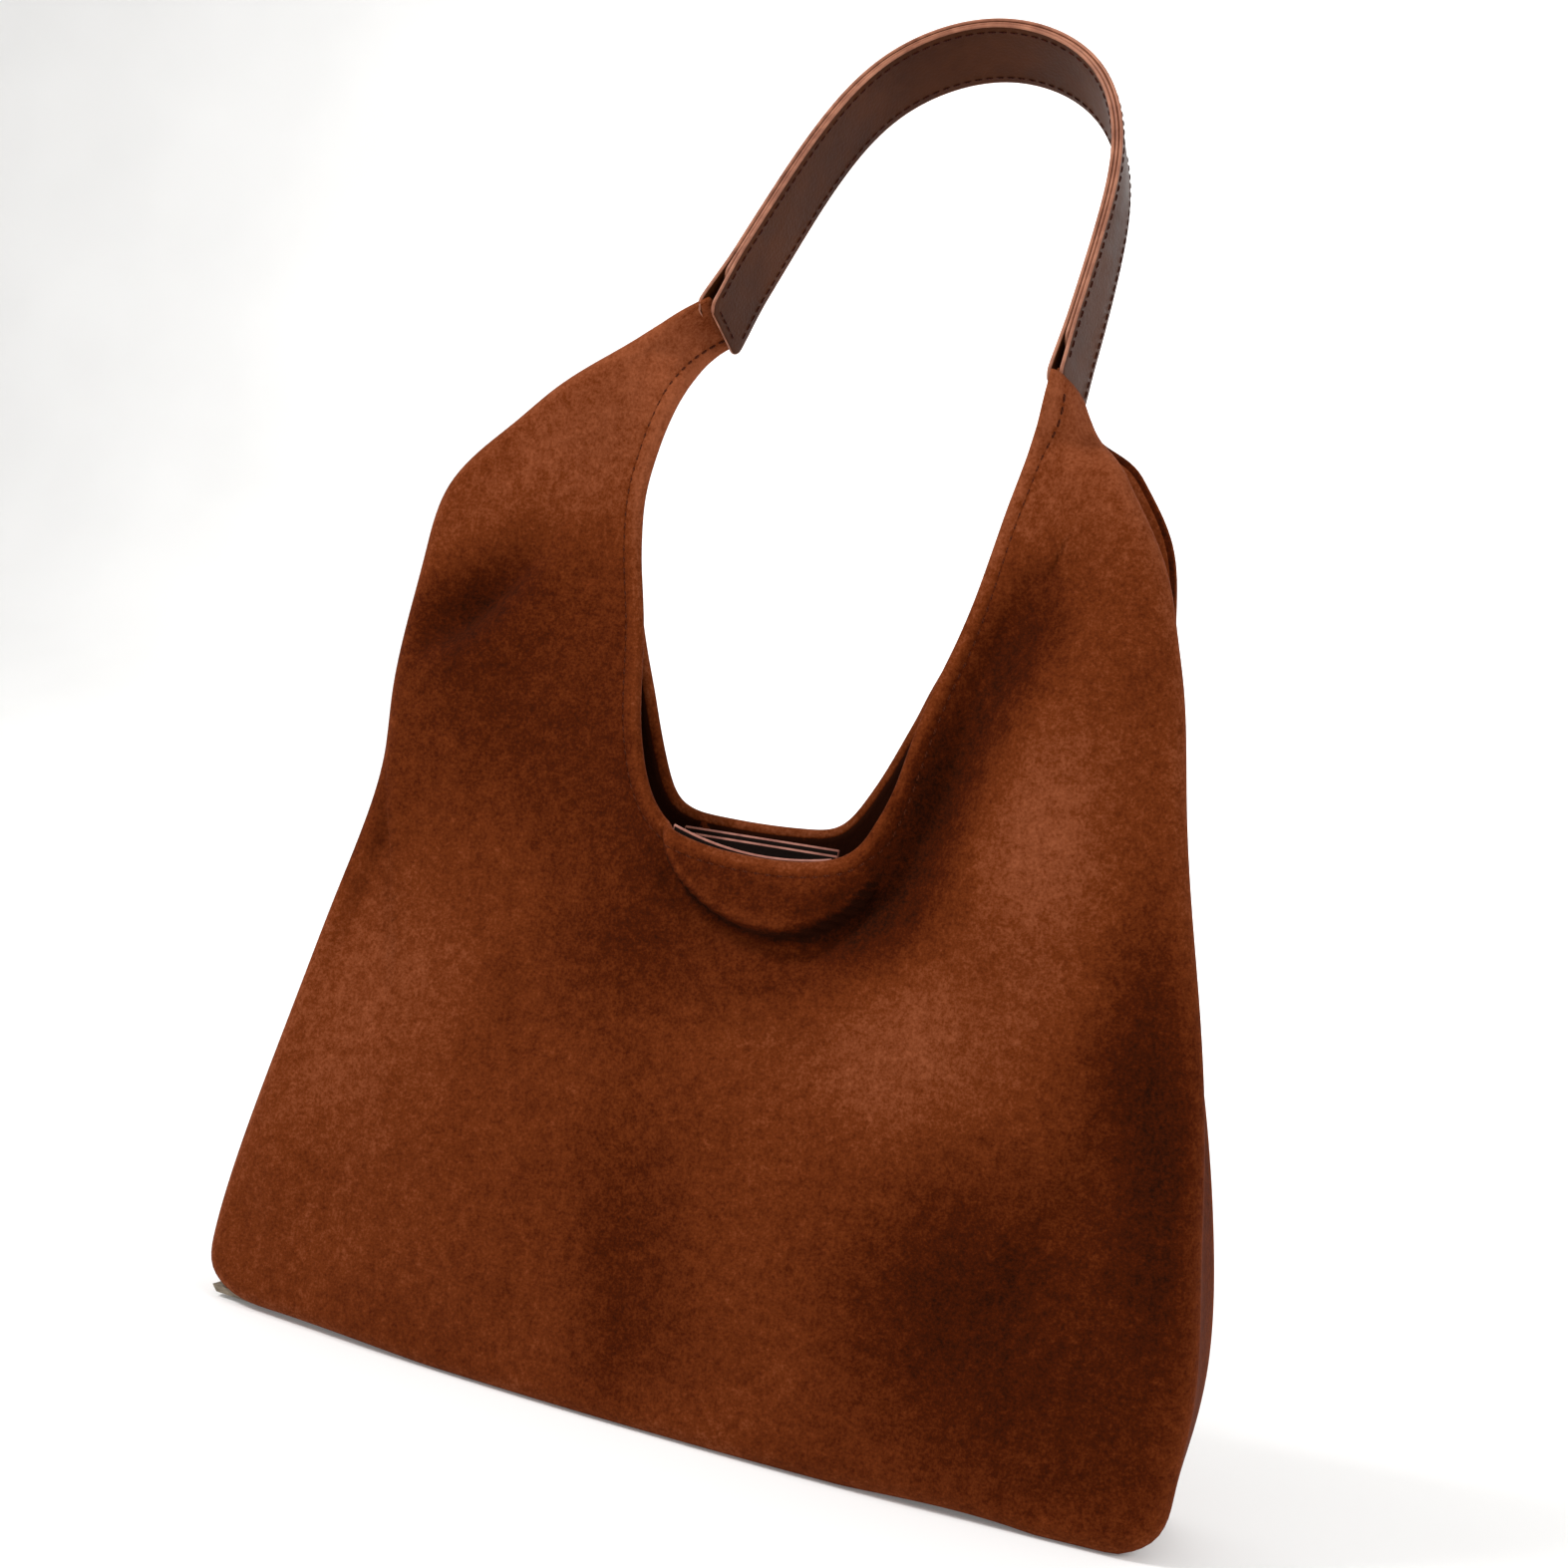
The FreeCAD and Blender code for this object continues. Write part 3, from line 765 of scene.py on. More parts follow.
def leather_material(name, dark, light, rough_low, specular=0.14):
    """Smooth coated leather with fine pores, faint creases and uneven gloss."""
    pore_scale = 760
    grain = 0.00012
    n = Nodes(name)
    tone = n.noise(26, 4, 0.6)
    pores = n.voronoi(pore_scale)
    wrinkle = n.noise(pore_scale * 0.35, 3, 0.6, n.scaled((1.0, 0.5, 1.0)))
    worn = n.noise(90, 3, 0.6)
    colour = n.ramp(n.weighted((tone, 0.7), (worn, 0.3)), [(0.3, dark), (0.72, light)])
    rough = n.weighted((worn, 0.22), start=rough_low)
    normal = n.bump(pores, grain, 0.7)
    normal = n.bump(wrinkle, grain * 1.6, 0.5, normal)
    return n.finish(colour, rough, normal, Specular_IOR_Level=specular)


def edge_paint_material(name, dark, light):
    """Thick edge paint, a little uneven."""
    n = Nodes(name)
    uneven = n.noise(140, 3, 0.6)
    colour = n.ramp(uneven, [(0.3, dark), (0.7, light)])
    rough = n.weighted((uneven, 0.2), start=0.34)
    return n.finish(colour, rough, n.bump(uneven, 0.00035, 0.6), Specular_IOR_Level=0.25)


def thread_material(name, dark, light):
    """Twisted thread: slanted plies and loose fibres."""
    n = Nodes(name)
    twist = n.wave(420, "DIAGONAL", distortion=1.5)
    fuzz = n.noise(1500, 2, 0.6)
    colour = n.ramp(n.weighted((twist, 0.6), (fuzz, 0.4)), [(0.25, dark), (0.8, light)])
    normal = n.bump(fuzz, 0.0001, 0.5, n.bump(twist, 0.00018, 0.7))
    return n.finish(colour, 0.78, normal, Specular_IOR_Level=0.08)


def cloth_material():
    """Near black lining twill."""
    n = Nodes("lining_cloth")
    warp = n.wave(520, "DIAGONAL", n.scaled((1.0, 0.35, 1.0)), distortion=0.6)
    weft = n.wave(640, "Z", distortion=0.4)
    weave = n.math("MULTIPLY", warp, weft)
    tone = n.noise(40, 3, 0.55)
    value = n.weighted((weave, 0.5), (tone, 0.5))
    colour = n.ramp(value, [(0.2, linear(8, 5, 4)), (0.8, linear(24, 17, 14))])
    return n.finish(colour, 0.82, n.bump(weave, 0.00022, 0.8), Specular_IOR_Level=0.08, Sheen_Weight=0.04)


def metal_material(name, dark, light):
    """Brushed plated steel with faint turning marks."""
    n = Nodes(name)
    rings = n.noise(900, 2, 0.5, n.scaled((1.0, 0.1, 1.0)))
    tarnish = n.noise(160, 4, 0.65)
    colour = n.ramp(tarnish, [(0.3, dark), (0.75, light)])
    rough = n.weighted((tarnish, 0.25), start=0.2)
    return n.finish(colour, rough, n.bump(rings, 0.00004, 0.5), Metallic=1.0)


def board_material():
    """Grey brown fibre board."""
    n = Nodes("board")
    fibres = n.noise(480, 4, 0.7, n.scaled((0.3, 1.0, 1.0)))
    colour = n.ramp(fibres, [(0.3, linear(92, 82, 70)), (0.7, linear(138, 126, 108))])
    return n.finish(colour, 0.9, n.bump(fibres, 0.0002, 0.6))


def magnet_material():
    """Dark ferrite."""
    n = Nodes("magnet")
    grain = n.noise(1200, 3, 0.6)
    colour = n.ramp(grain, [(0.3, linear(38, 37, 38)), (0.7, linear(70, 68, 68))])
    return n.finish(colour, 0.55, n.bump(grain, 0.00006, 0.5))


LEATHER = leather_material("strap_leather", linear(50, 21, 5), linear(76, 39, 17), 0.38, specular=0.07)
# The tab leather is near black: dark leather, darkened further as painted shade inside the mouth.
SHADED_TAB_LEATHER = leather_material("tab_leather", linear(16, 8, 5), linear(28, 15, 10), 0.6, specular=0.08)
TAB_PAINT = edge_paint_material("tab_edge_paint", linear(140, 84, 70), linear(186, 126, 108))
CORE = leather_material("strap_core", linear(96, 66, 48), linear(130, 96, 72), 0.7)
PAINT = edge_paint_material("edge_paint", linear(122, 72, 52), linear(168, 112, 86))
SUEDE_MATERIAL = suede_material()
THREAD = thread_material("suede_thread", linear(50, 18, 5), linear(84, 36, 14))
STRAP_THREAD = thread_material("strap_thread", linear(36, 12, 8), linear(70, 28, 20))
LINING = cloth_material()
BRASS = metal_material("snap_metal", linear(120, 98, 62), linear(188, 164, 118))
STEEL = metal_material("washer_metal", linear(120, 120, 122), linear(178, 178, 180))
BOARD = board_material()
MAGNET = magnet_material()


def attach(piece, slot, *nodes, body=None):
    """Fixes a piece to a body. With none named its place is baked into its points. Hides the named frame parts.
    """
    if body:
        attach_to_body(piece, body)
    else:
        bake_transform(piece)
    if nodes:
        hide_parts(*nodes)


def dress(piece, *materials):
    """Gives a mesh its materials in order. A lone material fills every slot there is."""
    slots = piece.data.materials
    for i in range(len(slots)):
        slots[i] = materials[min(i, len(materials) - 1)]
    for material in materials[len(slots):]:
        slots.append(material)
    return piece


# ---------------------------------------------------------------- suede shell

# The nap is lighter on the rim, from wear and as painted highlight, and on the seams' rounded edges as painted
# highlight.
# Painted shade darkens the stitching's groove, the edge where it turns in, the seam allowance and the facings.
EDGE_WEAR_AND_HIGHLIGHT = 0.45
GROOVE_SHADE = 0.25
TURN_IN_SHADE = -0.4
SEAM_HIGHLIGHT = 0.35
SEAM_ALLOWANCE_SHADE = -0.8
FACING_SHADE = -1.5

# Brushed areas of the nap and patches of painted light and shade: lighter on lit places such as the horns,
# darker as painted shade in dents, valleys and beside the lip, as (x, z, half width, half height, turn in
# degrees, lighter or darker).
NAP_AND_LIGHT_PATCHES = [
    (-95, 354, 50, 28, 40, 0.58), (101, 354, 26, 36, -62, 0.46), (-88, 252, 64, 56, 0, -0.65),
    (-66, 398, 22, 16, 30, 0.45), (94, 392, 16, 20, 0, 0.60), (-128, 286, 26, 15, 45, -0.70),
    (86, 302, 15, 42, -14, -0.85), (64, 232, 18, 46, -14, -1.0), (44, 190, 30, 15, 30, -0.65),
    (112, 236, 28, 50, 15, 0.62), (76, 154, 38, 30, 0, 0.48), (-138, 118, 36, 54, -15, 0.36),
    (118, 72, 38, 54, -25, -0.95), (176, 120, 18, 80, 8, -0.70), (158, 30, 38, 34, 0, -0.55),
    (-5, 42, 24, 54, 10, -0.50), (-36, 176, 30, 40, 0, -0.45), (152, 182, 18, 42, 10, -0.45),
    (8, 198, 34, 12, 0, -0.35), (24, 162, 30, 14, 0, -0.20), (-160, 190, 8, 26, 0, -0.40),
    (-100, 40, 60, 24, 0, 0.10),
]


def nap_and_painted_light_values(points, front):
    """Lighter and darker areas, from about -1 to 1: brushed nap with painted light and shade, and on the front
    a painted highlight just above the lip's fold and a painted shadow in it. The back has the patches mirrored
    and fainter.
    """
    x, z = points[:, 0], points[:, 2]
    total = np.zeros(len(points))
    for cx, cz, wide, high, turn, amount in NAP_AND_LIGHT_PATCHES:
        if not front:
            cx = -cx * 0.9
            amount *= 0.6
        c, s = math.cos(math.radians(turn)), math.sin(math.radians(turn))
        a = ((x - cx) * c + (z - cz) * s) / wide
        b = ((z - cz) * c - (x - cx) * s) / high
        total += amount * np.exp(-(a * a + b * b) * 0.9)
    if front:
        # Painted highlight just above the lip's fold and painted shadow in the fold.
        above, fade = lip_place(x, z)
        crest_highlight = 0.45 * np.exp(-((above - 2.6) / 2.4) ** 2)
        fold_shadow = np.exp(-((above + 1.4) / 2.4) ** 2)
        total += fade * (crest_highlight - fold_shadow)
    return total


def paint_nap_and_light(piece, front=True, extra=None):
    """Stores the nap with its painted light and shade. Extra values for the points of a grid count for both
    faces of its sheet.
    """
    count = len(piece.data.vertices)
    places = np.zeros(count * 3)
    piece.data.vertices.foreach_get("co", places)
    values = nap_and_painted_light_values(places.reshape(-1, 3) / MM, front)
    if extra is not None:
        values += np.tile(extra.ravel(), 2)
    attribute = piece.data.attributes.new("nap_and_painted_light", "FLOAT", "POINT")
    attribute.data.foreach_set("value", values.astype(np.float32))


# Rows of a panel: in under the rim, round it, and past the stitching, as distances from the mouth's edge.
TURN_IN_ROWS = 5
RIM_ANGLES = np.radians(np.arange(180, -1, -20))
FACE_OFFSETS = (2.5, 3.2, 3.9, 4.4, 4.75, STITCH_INSET, 5.25, 5.6, 6.1, 6.8, 7.8, 9.0)
STITCH_ROW = TURN_IN_ROWS + len(RIM_ANGLES) + FACE_OFFSETS.index(STITCH_INSET)

# The seam allowance turns in past the seam, as (distance from the outer edge, depth past the seam's radius).
SEAM_ALLOWANCE = ((0.5, 0.8), (1.6, 1.2), (3.4, 1.0))
SEAM_ROW = -1 - len(SEAM_ALLOWANCE)


def panel_rows(wall):
    """Rows of the panel from its turned-in edge over the rim to the seam, with each row's depth and its nap
    value of painted light and shade.
    """
    rows, depths, nap_and_painted_light = [], [], []

    def add(row, depth, shade=0.0):
        rows.append(row)
        depths.append(depth)
        nap_and_painted_light.append(shade)

    for offset in np.linspace(TURN_IN, RIM_RADIUS + 0.6, TURN_IN_ROWS):
        # Painted shade where the edge turns in under the rim.
        add(wall.near_mouth(offset), 2 * RIM_RADIUS, TURN_IN_SHADE)
    for angle in RIM_ANGLES:
        depth = RIM_RADIUS * (1 - math.cos(angle))
        # The rounded rim is lighter, from wear and as a painted highlight.
        add(wall.near_mouth(RIM_RADIUS * (1 - math.sin(angle))), depth, EDGE_WEAR_AND_HIGHLIGHT)
    for offset in FACE_OFFSETS:
        groove = 0.3 * math.exp(-((offset - STITCH_INSET) / 0.7) ** 2)
        swelling = 0.35 * math.exp(-((offset - 2.9) / 1.2) ** 2)
        # Near the edge the rim is lighter from wear and a painted highlight, and the stitching's groove gets
        # painted shade.
        worn = EDGE_WEAR_AND_HIGHLIGHT * math.exp(-(offset / 3.4) ** 2)
        groove_shade = GROOVE_SHADE * math.exp(-((offset - STITCH_INSET) / 0.6) ** 2)
        add(wall.near_mouth(offset), groove - swelling, worn - groove_shade)
    for fraction in np.linspace(0, 1, 68)[1:-1] ** 1.25:
        add(wall.between(fraction), 0.0)
    for angle in np.radians(np.arange(0, 91, 11.25)):
        depth = SEAM_RADIUS * (1 - math.cos(angle))
        # The seam's rounded edge gets a painted highlight.
        add(wall.near_outer(SEAM_RADIUS * (1 - math.sin(angle))), depth, SEAM_HIGHLIGHT * math.sin(angle))
    for offset, depth in SEAM_ALLOWANCE:
        # The seam allowance beyond it gets painted shade.
        add(wall.near_outer(offset), SEAM_RADIUS + depth, SEAM_ALLOWANCE_SHADE)
    return rows, depths, nap_and_painted_light


def make_panel(wall, name, *tips):
    """Suede wall of the bag, which also takes the place of the named horn tips."""
    rows, depths, nap_and_painted_light = panel_rows(wall)
    grid = wall.place(rows, depths)
    piece = sheet_mesh(name, grid, flip=wall.side > 0, thin=wall.squeeze)
    extra = np.repeat(np.array(nap_and_painted_light)[:, None], grid.shape[1], axis=1)
    # The seams' painted light and shade fade out towards the horn tips.
    extra[SEAM_ROW:] *= (wall.squeeze - TIP_SQUEEZE) / (1 - TIP_SQUEEZE)
    paint_nap_and_light(piece, wall.side < 0, extra)
    attach(dress(piece, SUEDE_MATERIAL), "suede", name, *tips)
    return grid


def surface_normals(grid, row):
    """Normals along one row of a wall's grid."""
    along = np.gradient(grid[row], axis=0)
    across = grid[row + 1] - grid[row - 1]
    return unit(np.cross(along, across))


def mouth_stitches(name, wall, grid):
    """Top stitching along the mouth."""
    normals = surface_normals(grid, STITCH_ROW)
    middle = len(normals) // 2
    if normals[middle, 1] * wall.side < 0:
        normals = -normals
    path = grid[STITCH_ROW] + normals * (STITCH_LIFT * wall.squeeze)[:, None]
    attach(dress(join_parts(name, stitch_row(path, normals, rise=0.3)), THREAD), "suede")


def make_facing(name, wall):
    """Suede band inside the rim, from under the turned-in edge down to the lining."""
    rows = []
    for offset in np.linspace(2.6, FACING_DEEP, 14):
        rows.append(wall.mouth + wall.into_from_mouth * np.minimum(offset, 0.5 * wall.reach)[:, None])
    grid = wall.place(rows, [2 * RIM_RADIUS + SUEDE + FACING_GAP] * len(rows))
    piece = sheet_mesh(name, grid, flip=wall.side > 0, thickness=FACING_THICKNESS, thin=wall.squeeze)
    # The facing inside the mouth is darkened as painted shade.
    paint_nap_and_light(piece, True, np.full(grid.shape[:2], FACING_SHADE))
    attach(dress(piece, SUEDE_MATERIAL), "suede", name)


# Columns where the strip between the walls is left gusset, base and right gusset.
LEFT_END = COLUMNS[0] + COLUMNS[1]
RIGHT_START = LEFT_END + COLUMNS[2] + COLUMNS[3]
LAST_COLUMN = sum(COLUMNS)
GUSSET_STEPS = 44
LINING_STEPS = 16


def gusset_cave(z):
    """How far a gusset folds inwards: most near the shoulder, less at the tips, not at all at the base."""
    shoulder = 9.0 * np.exp(-((z - 330) / 62) ** 2) + 2.5 * np.exp(-((z - 170) / 90) ** 2)
    return shoulder * smooth(z / 40)


def strip_grid(front_seam, back_seam, span, steps, depth=0.0):
    """Strip of cloth between the two walls' seams, caved in between them, with a groove along each seam."""
    flat = unit(FRONT.into_from_outer + BACK.into_from_outer)
    inward = np.stack([flat[:, 0], np.zeros(len(flat)), flat[:, 1]], axis=1)
    cave = gusset_cave(FRONT.outer[:, 1])
    width = np.linalg.norm(front_seam - back_seam, axis=1)
    grid = []
    for t in np.linspace(0, 1, steps):
        groove = 2.2 * np.exp(-(np.minimum(t, 1 - t) * width / 1.6) ** 2)
        hollow = cave * (math.sin(math.pi * t ** 0.8) ** 1.3) if 0 < t < 1 else 0.0
        line = front_seam * (1 - t) + back_seam * t
        grid.append(line + inward * ((groove + hollow + depth) * FRONT.squeeze)[:, None])
    start, end = span
    return np.stack(grid, axis=1)[start:end + 1]


def make_strips(seams):
    """Gussets and base panel between the two walls."""
    spans = {"left_gusset": (0, LEFT_END), "base_panel": (LEFT_END, RIGHT_START),
             "right_gusset": (RIGHT_START, LAST_COLUMN)}
    for name, span in spans.items():
        piece = sheet_mesh(name, strip_grid(*seams, span, GUSSET_STEPS), flip=True)
        paint_nap_and_light(piece)
        attach(dress(piece, SUEDE_MATERIAL), "suede", name, body="bag" if name == "base_panel" else None)


# ---------------------------------------------------------------- lining, pocket and tabs

def make_lining():
    """The lining's front and back."""
    for name, wall in (("lining_front", FRONT), ("lining_back", BACK)):
        rows = [wall.between(f) for f in np.linspace(0.07, 1, LINING_ROWS)]
        grid = wall.place(rows, [LINING_DEPTH] * LINING_ROWS)
        grid = grid[:, (wall.gap_left > LINING_STOP) & (wall.gap_right > LINING_STOP)]
        piece = sheet_mesh(name, grid, flip=wall.side > 0, thickness=CLOTH)
        attach(dress(piece, LINING), "lining_cloth", name)


def make_lining_strips(seams):
    """The lining's sides and base, which lie inside the gussets and the base panel."""
    spans = {"lining_left": (14, LEFT_END, 3.0), "lining_base": (LEFT_END, RIGHT_START, 6.0),
             "lining_right": (RIGHT_START, LAST_COLUMN - 11, 3.0)}
    for name, (start, end, depth) in spans.items():
        grid = strip_grid(*seams, (start, end), LINING_STEPS, depth)
        piece = dress(sheet_mesh(name, grid, flip=True, thickness=CLOTH), LINING)
        attach(piece, "lining_cloth", name, body="bag" if name == "lining_base" else None)


POCKET_GAP = 1.2
POCKET_SAG = 4
POCKET_OPEN = 6.5


def make_pocket():
    """Slip pocket that hangs a little open on the back lining."""
    low, high = (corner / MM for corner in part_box("slip_pocket"))
    grid = []
    for up in np.linspace(0, 1, 18):
        row = []
        for across in np.linspace(-1, 1, 34):
            x = (low.x + high.x) / 2 + across * (high.x - low.x) / 2
            z = low.z + (high.z - low.z) * up
            z -= POCKET_SAG * up * (1 - across ** 2)
            wall = float(half_depth(np.array(x), np.array(z))) - LINING_DEPTH - POCKET_GAP
            open_by = POCKET_OPEN * (1 - across ** 4) * math.sin(math.pi * (0.12 + 0.42 * up))
            row.append((x, wall - open_by, z))
        grid.append(row)
    piece = dress(sheet_mesh("slip_pocket", np.array(grid), thickness=CLOTH), LINING)
    attach(piece, "lining_cloth", "slip_pocket", body="bag")


# Height of the mouth's edge along its middle: a shallow dip at the front and a slight slope at the back.
FRONT_RIM_LOW = 210.4
FRONT_RIM_MIDDLE = 4
FRONT_RIM_CURVE = 0.0045
BACK_RIM_HEIGHT = 214.4
BACK_RIM_MIDDLE = -6
BACK_RIM_SLOPE = 0.03


def rim_height(wall, x):
    """Height of the mouth's edge above a place along its middle part."""
    if wall.side < 0:
        return FRONT_RIM_LOW + FRONT_RIM_CURVE * (x - FRONT_RIM_MIDDLE) ** 2
    return BACK_RIM_HEIGHT + BACK_RIM_SLOPE * (x - BACK_RIM_MIDDLE)


def make_tab(name, wall, lift, centre):
    """Magnetic tab of two leathers with painted edges. Its top edge follows the rim."""
    low, high = (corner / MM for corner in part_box(name))
    middle_y = (low.y + high.y) / 2 - wall.side * TAB_SETBACK
    half = (high.y - low.y) / 4
    straight = TAB_LENGTH - TAB_CORNER
    down = np.concatenate(([0, 0.3, 0.8, 1.6], np.linspace(3, straight, 10),
                           TAB_LENGTH - TAB_CORNER * (1 - np.sin(np.radians([25, 45, 65, 80, 90])))))
    width = TAB_HALF_WIDTH - TAB_CORNER + corner_width(down - straight, TAB_CORNER)
    width[:2] -= 0.5, 0.15
    thickness = np.full(len(down), half)
    thickness[[0, -1]] = half * 0.35
    thickness[[1, -2]] = half * 0.8
    across = np.tile([1.0, 0, 0], (len(down), 1))
    normal = np.tile([0, -1.0, 0], (len(down), 1))
    for layer, shift, top in (("near_leather", -1, 0.0), ("far_leather", 1, wall.side * TAB_STEP)):
        y = middle_y + shift * (half + 0.03)
        rows = np.stack([np.full(len(down), centre), np.full(len(down), y), top - down], axis=1)
        piece = plate(name + "_" + layer, rows, across, normal, width, thickness, columns=29, painted_ends=2)
        for vertex in piece.data.vertices:
            vertex.co.z += (rim_height(wall, vertex.co.x / MM) + lift) * MM
        replaced = [name] if layer == "near_leather" else []
        # The tabs' leather carries painted shade of the mouth's inside.
        attach(dress(piece, SHADED_TAB_LEATHER, TAB_PAINT), "tab_leather", *replaced, body=name)


def dress_snap():
    """The snap's own solids stay, with finished metal."""
    for name in ("snap_stud", "snap_cap", "snap_plate"):
        dress(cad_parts[name], BRASS)
    for name in ("stud_washer", "plate_washer"):
        dress(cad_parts[name], STEEL)
    dress(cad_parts["snap_magnet"], MAGNET)
    dress(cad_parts["base_board"], BOARD)


# ---------------------------------------------------------------- strap

def strap_rows(setback=0.0):
    """Frames of the strap, close together at both ends, with each row's distance to its end, and the fork."""
    middle, along, across, inner = STRAP
    lengths = arc_lengths(middle)
    total = lengths[-1]
    ends = np.array([0, 0.25, 0.7, 1.4, 2.4, 3.6, 5.0])
    at = np.concatenate((setback + ends, np.linspace(setback + 8, total - setback - 8, STRAP_STATIONS),
                         total - setback - ends[::-1]))
    frames = [np.stack([np.interp(at, lengths, part[:, k]) for k in range(3)], axis=1)
              for part in (middle, along, across, inner)]
    to_end = np.minimum(at - setback, total - setback - at)
    fork = FORK_OPEN_LEFT * smooth(1 - at / FORK_REACH)
    fork += FORK_OPEN_RIGHT * smooth(1 - (total - at) / FORK_REACH)
    return frames, to_end, fork


def make_strap_layer(name, low, high, width, setback, materials, slot):
    """One layer of the strap, between two heights over its middle plane."""
    (middle, _, across, inner), to_end, fork = strap_rows(setback)
    half_width = width / 2 - STRAP_CORNER + corner_width(STRAP_CORNER - to_end, STRAP_CORNER)
    thickness = (high - low) / 2 * (0.45 + 0.55 * smooth(to_end / 0.8))
    layer = (low + high) / 2
    centre = middle + unit(inner) * (layer + np.sign(round(layer, 3)) * fork)[:, None]
    piece = plate(name, centre, unit(across), unit(inner), half_width, thickness, columns=11)
    attach(dress(piece, *materials), slot, name, body="strap")


def make_strap():
    """Two leathers over a core, and stitches along both edges and across both ends of each face."""
    core = STRAP_CORE / 2
    face = core + STRAP_LEATHER
    core_width = STRAP_WIDTH - 2 * STRAP_CORE_INSET
    leather = (LEATHER, PAINT)
    make_strap_layer("strap_inner", core, face, STRAP_WIDTH, 0, leather, "strap_leather")
    make_strap_layer("strap_outer", -face, -core, STRAP_WIDTH, 0, leather, "strap_leather")
    inset = core - 0.02
    materials = (CORE, PAINT)
    make_strap_layer("strap_core", -inset, inset, core_width, STRAP_CORE_SETBACK, materials, "strap_core")
    (middle, _, across, inner), _, fork = strap_rows()
    across, inner = unit(across), unit(inner)
    stitch_line = STRAP_WIDTH / 2 - STRAP_STITCH_INSET
    parts = []
    for sign in (-1, 1):
        out = inner * sign
        surface = middle + out * (face + fork)[:, None]
        for edge in (-stitch_line, stitch_line):
            line = surface + across * edge
            parts += stitch_row(line[6:-6], out[6:-6], radius=STRAP_STITCH_RADIUS)
        for end in (5, -6):
            line = surface[end] + across[end] * np.linspace(-stitch_line, stitch_line, 12)[:, None]
            parts += stitch_row(line, np.tile(out[end], (12, 1)), radius=STRAP_STITCH_RADIUS)
    attach(dress(join_parts("strap_stitches", parts), STRAP_THREAD), "strap_leather", body="strap")


# ---------------------------------------------------------------- stage

# Floor and lights are in metres. Each light is (name, place, aimed at, size, power).
FLOOR_HALF_WIDTH = 9.0
FLOOR_FRONT = -6.0
FLOOR_BACK = 3.0
FLOOR_TURN = 1.2
FLOOR_TOP = 8.0
LIGHTS = [
    ("key", (-1.15, -1.0, 1.6), (0, 0, 0.22), 0.5, 29),
    ("side", (1.5, -0.7, 1.3), (0, 0, 0.3), 0.9, 13),
    ("wall", (0.0, 2.2, 2.6), (0, 4.2, 0.6), 2.0, 90),
]
WORLD_COLOUR = (1.0, 0.985, 0.97, 1)
WORLD_STRENGTH = 0.6


def make_stage():
    """Plain pale floor that curves up far behind the bag, so that no edge of it shows."""
    profile = [(FLOOR_FRONT, 0.0), (FLOOR_BACK, 0.0)]
    for a in np.linspace(0.1, math.pi / 2, 14):
        profile.append((FLOOR_BACK + FLOOR_TURN * math.sin(a), FLOOR_TURN * (1 - math.cos(a))))
    profile.append((FLOOR_BACK + FLOOR_TURN, FLOOR_TOP))
    points = [(x, y, z) for y, z in profile for x in (-FLOOR_HALF_WIDTH, FLOOR_HALF_WIDTH)]
    faces = [(2 * i, 2 * i + 1, 2 * i + 3, 2 * i + 2) for i in range(len(profile) - 1)]
    floor = make_mesh("floor", np.array(points) / MM, faces)
    n = Nodes("pale_floor")
    colour = n.ramp(n.noise(3, 2, 0.5), [(0.3, (0.86, 0.86, 0.855, 1)), (0.7, (0.9, 0.9, 0.895, 1))])
    dress(floor, n.finish(colour, 0.9, Emission_Color=(1, 1, 1, 1), Emission_Strength=0.12))


def area_light(name, place, target, size, power):
    """Round area light at a place, aimed at a target."""
    light = bpy.data.lights.new(name, "AREA")
    light.shape = "DISK"
    light.size = size
    light.energy = power
    lamp = bpy.data.objects.new(name, light)
    lamp.location = place
    lamp.rotation_euler = (Vector(target) - Vector(place)).to_track_quat("-Z", "Y").to_euler()
    bpy.context.scene.collection.objects.link(lamp)


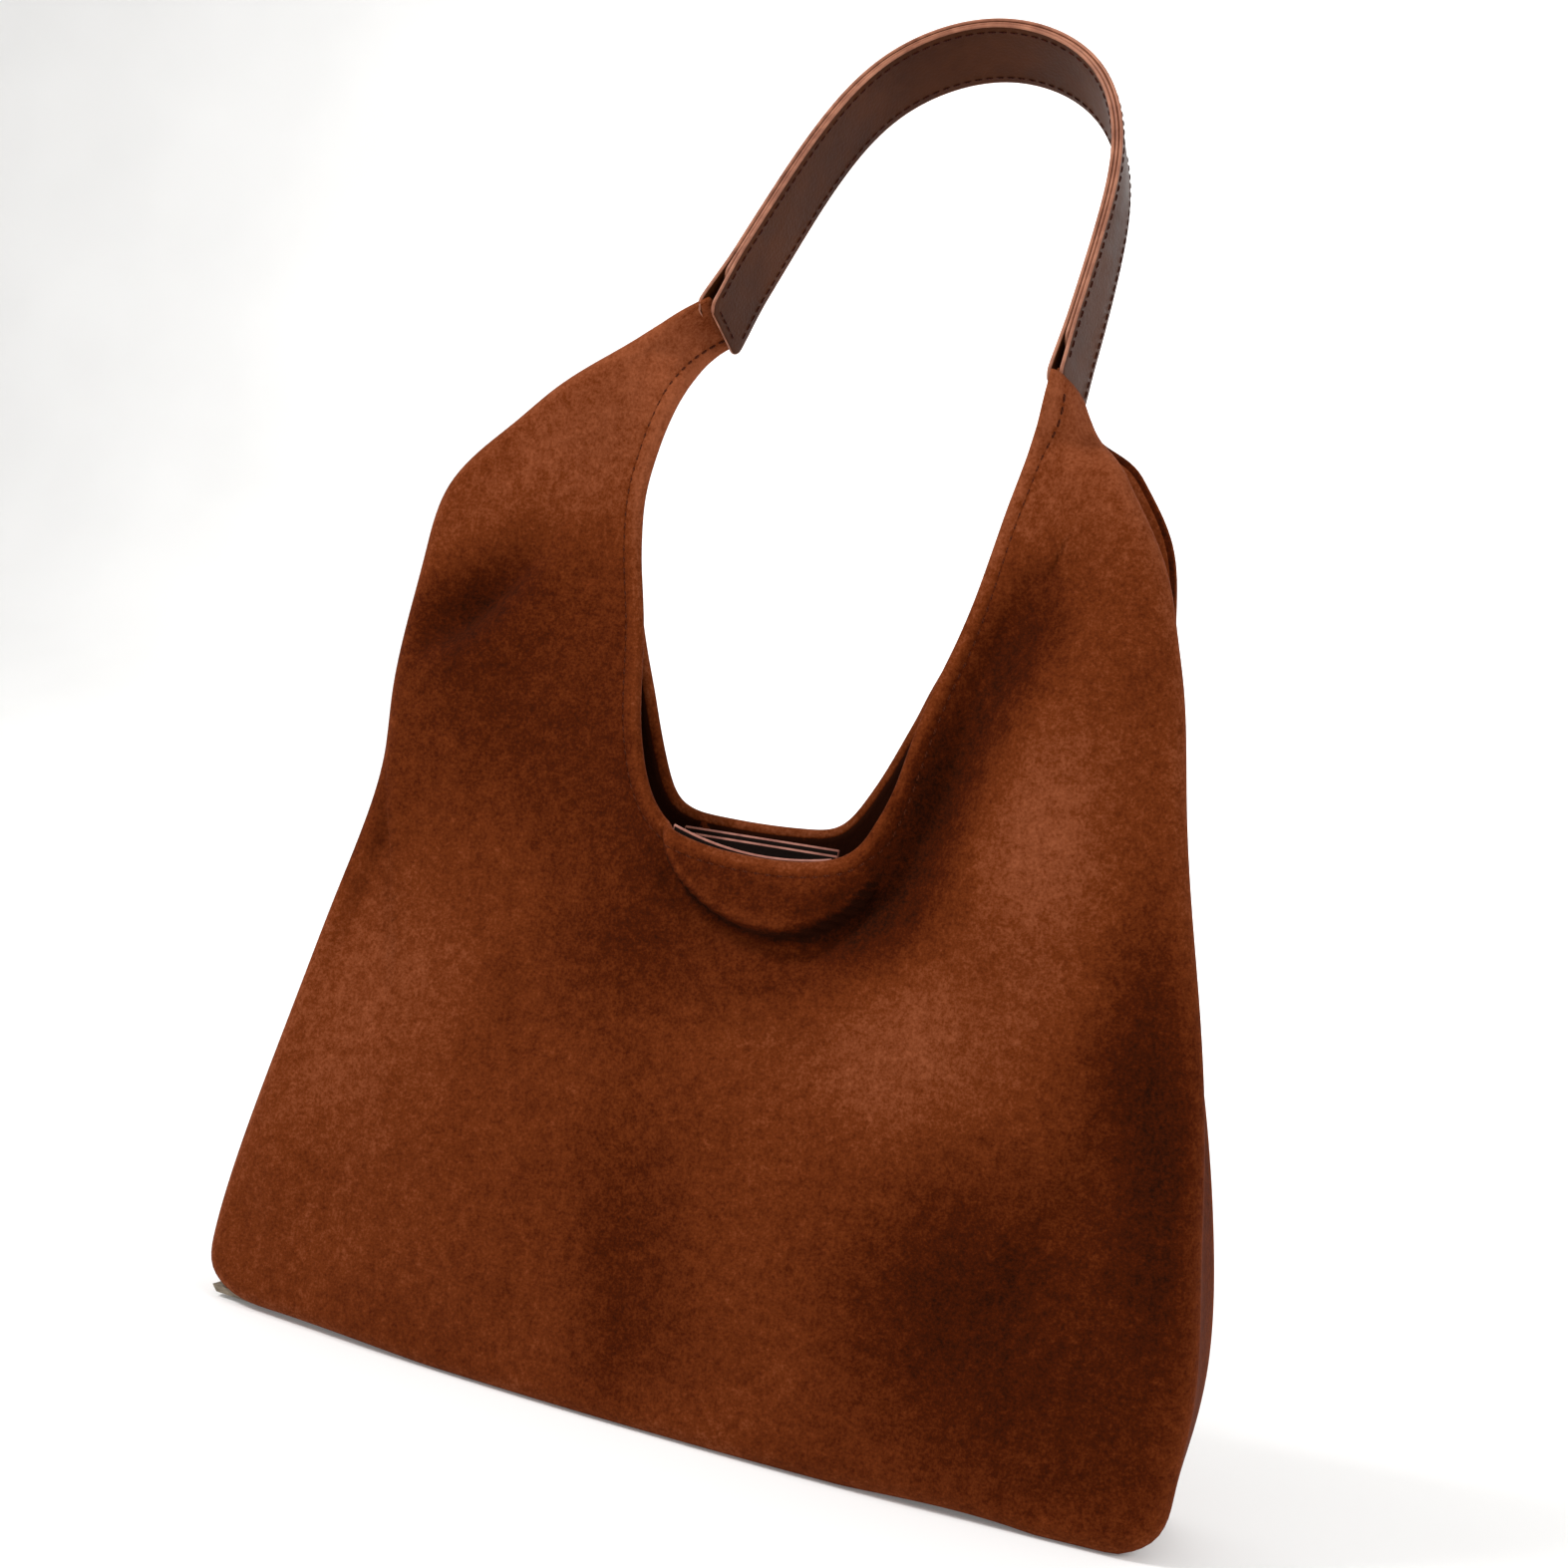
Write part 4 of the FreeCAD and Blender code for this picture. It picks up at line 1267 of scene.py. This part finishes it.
# The camera stands level with its target, turned to the right of the front and rolled.
CAMERA_LENS = 48.34
CAMERA_SENSOR = 36
CAMERA_AZIMUTH = math.radians(18)
CAMERA_ROLL = math.radians(10.4)
CAMERA_DISTANCE = 0.8
CAMERA_TARGET = Vector((0.005, 0, 0.2385))


def make_camera():
    camera = bpy.data.cameras.new("camera")
    camera.lens = CAMERA_LENS
    camera.sensor_width = CAMERA_SENSOR
    holder = bpy.data.objects.new("camera", camera)
    back = Vector((math.sin(CAMERA_AZIMUTH), -math.cos(CAMERA_AZIMUTH), 0))
    right = Vector((math.cos(CAMERA_AZIMUTH), math.sin(CAMERA_AZIMUTH), 0))
    up = Vector((0, 0, 1))
    c, s = math.cos(CAMERA_ROLL), math.sin(CAMERA_ROLL)
    columns = (right * c + up * s, up * c - right * s, back, CAMERA_TARGET + back * CAMERA_DISTANCE)
    matrix = holder.matrix_world.copy()
    for i, column in enumerate(columns):
        matrix.col[i].xyz = column
    holder.matrix_world = matrix
    bpy.context.scene.collection.objects.link(holder)
    bpy.context.scene.camera = holder


def make_light():
    """Pale surroundings and the area lights."""
    world = bpy.data.worlds.new("studio")
    world.use_nodes = True
    background = world.node_tree.nodes["Background"]
    background.inputs["Color"].default_value = WORLD_COLOUR
    background.inputs["Strength"].default_value = WORLD_STRENGTH
    bpy.context.scene.world = world
    for light in LIGHTS:
        area_light(*light)


# ---------------------------------------------------------------- build

front_grid = make_panel(FRONT, "front_panel", "left_horn_tip", "right_horn_tip")
back_grid = make_panel(BACK, "back_panel")
seams = (front_grid[SEAM_ROW], back_grid[SEAM_ROW])
mouth_stitches("front_rim_stitches", FRONT, front_grid)
mouth_stitches("back_rim_stitches", BACK, back_grid)
make_facing("front_facing", FRONT)
make_facing("back_facing", BACK)
make_strips(seams)
make_lining()
make_lining_strips(seams)
make_pocket()
make_tab("front_tab", FRONT, FRONT_TAB_LIFT, TAB_MIDDLE)
make_tab("back_tab", BACK, BACK_TAB_LIFT, TAB_MIDDLE + BACK_TAB_OFFSET)
dress_snap()
make_strap()
make_stage()
make_camera()
make_light()
bpy.context.scene.view_settings.view_transform = "Standard"
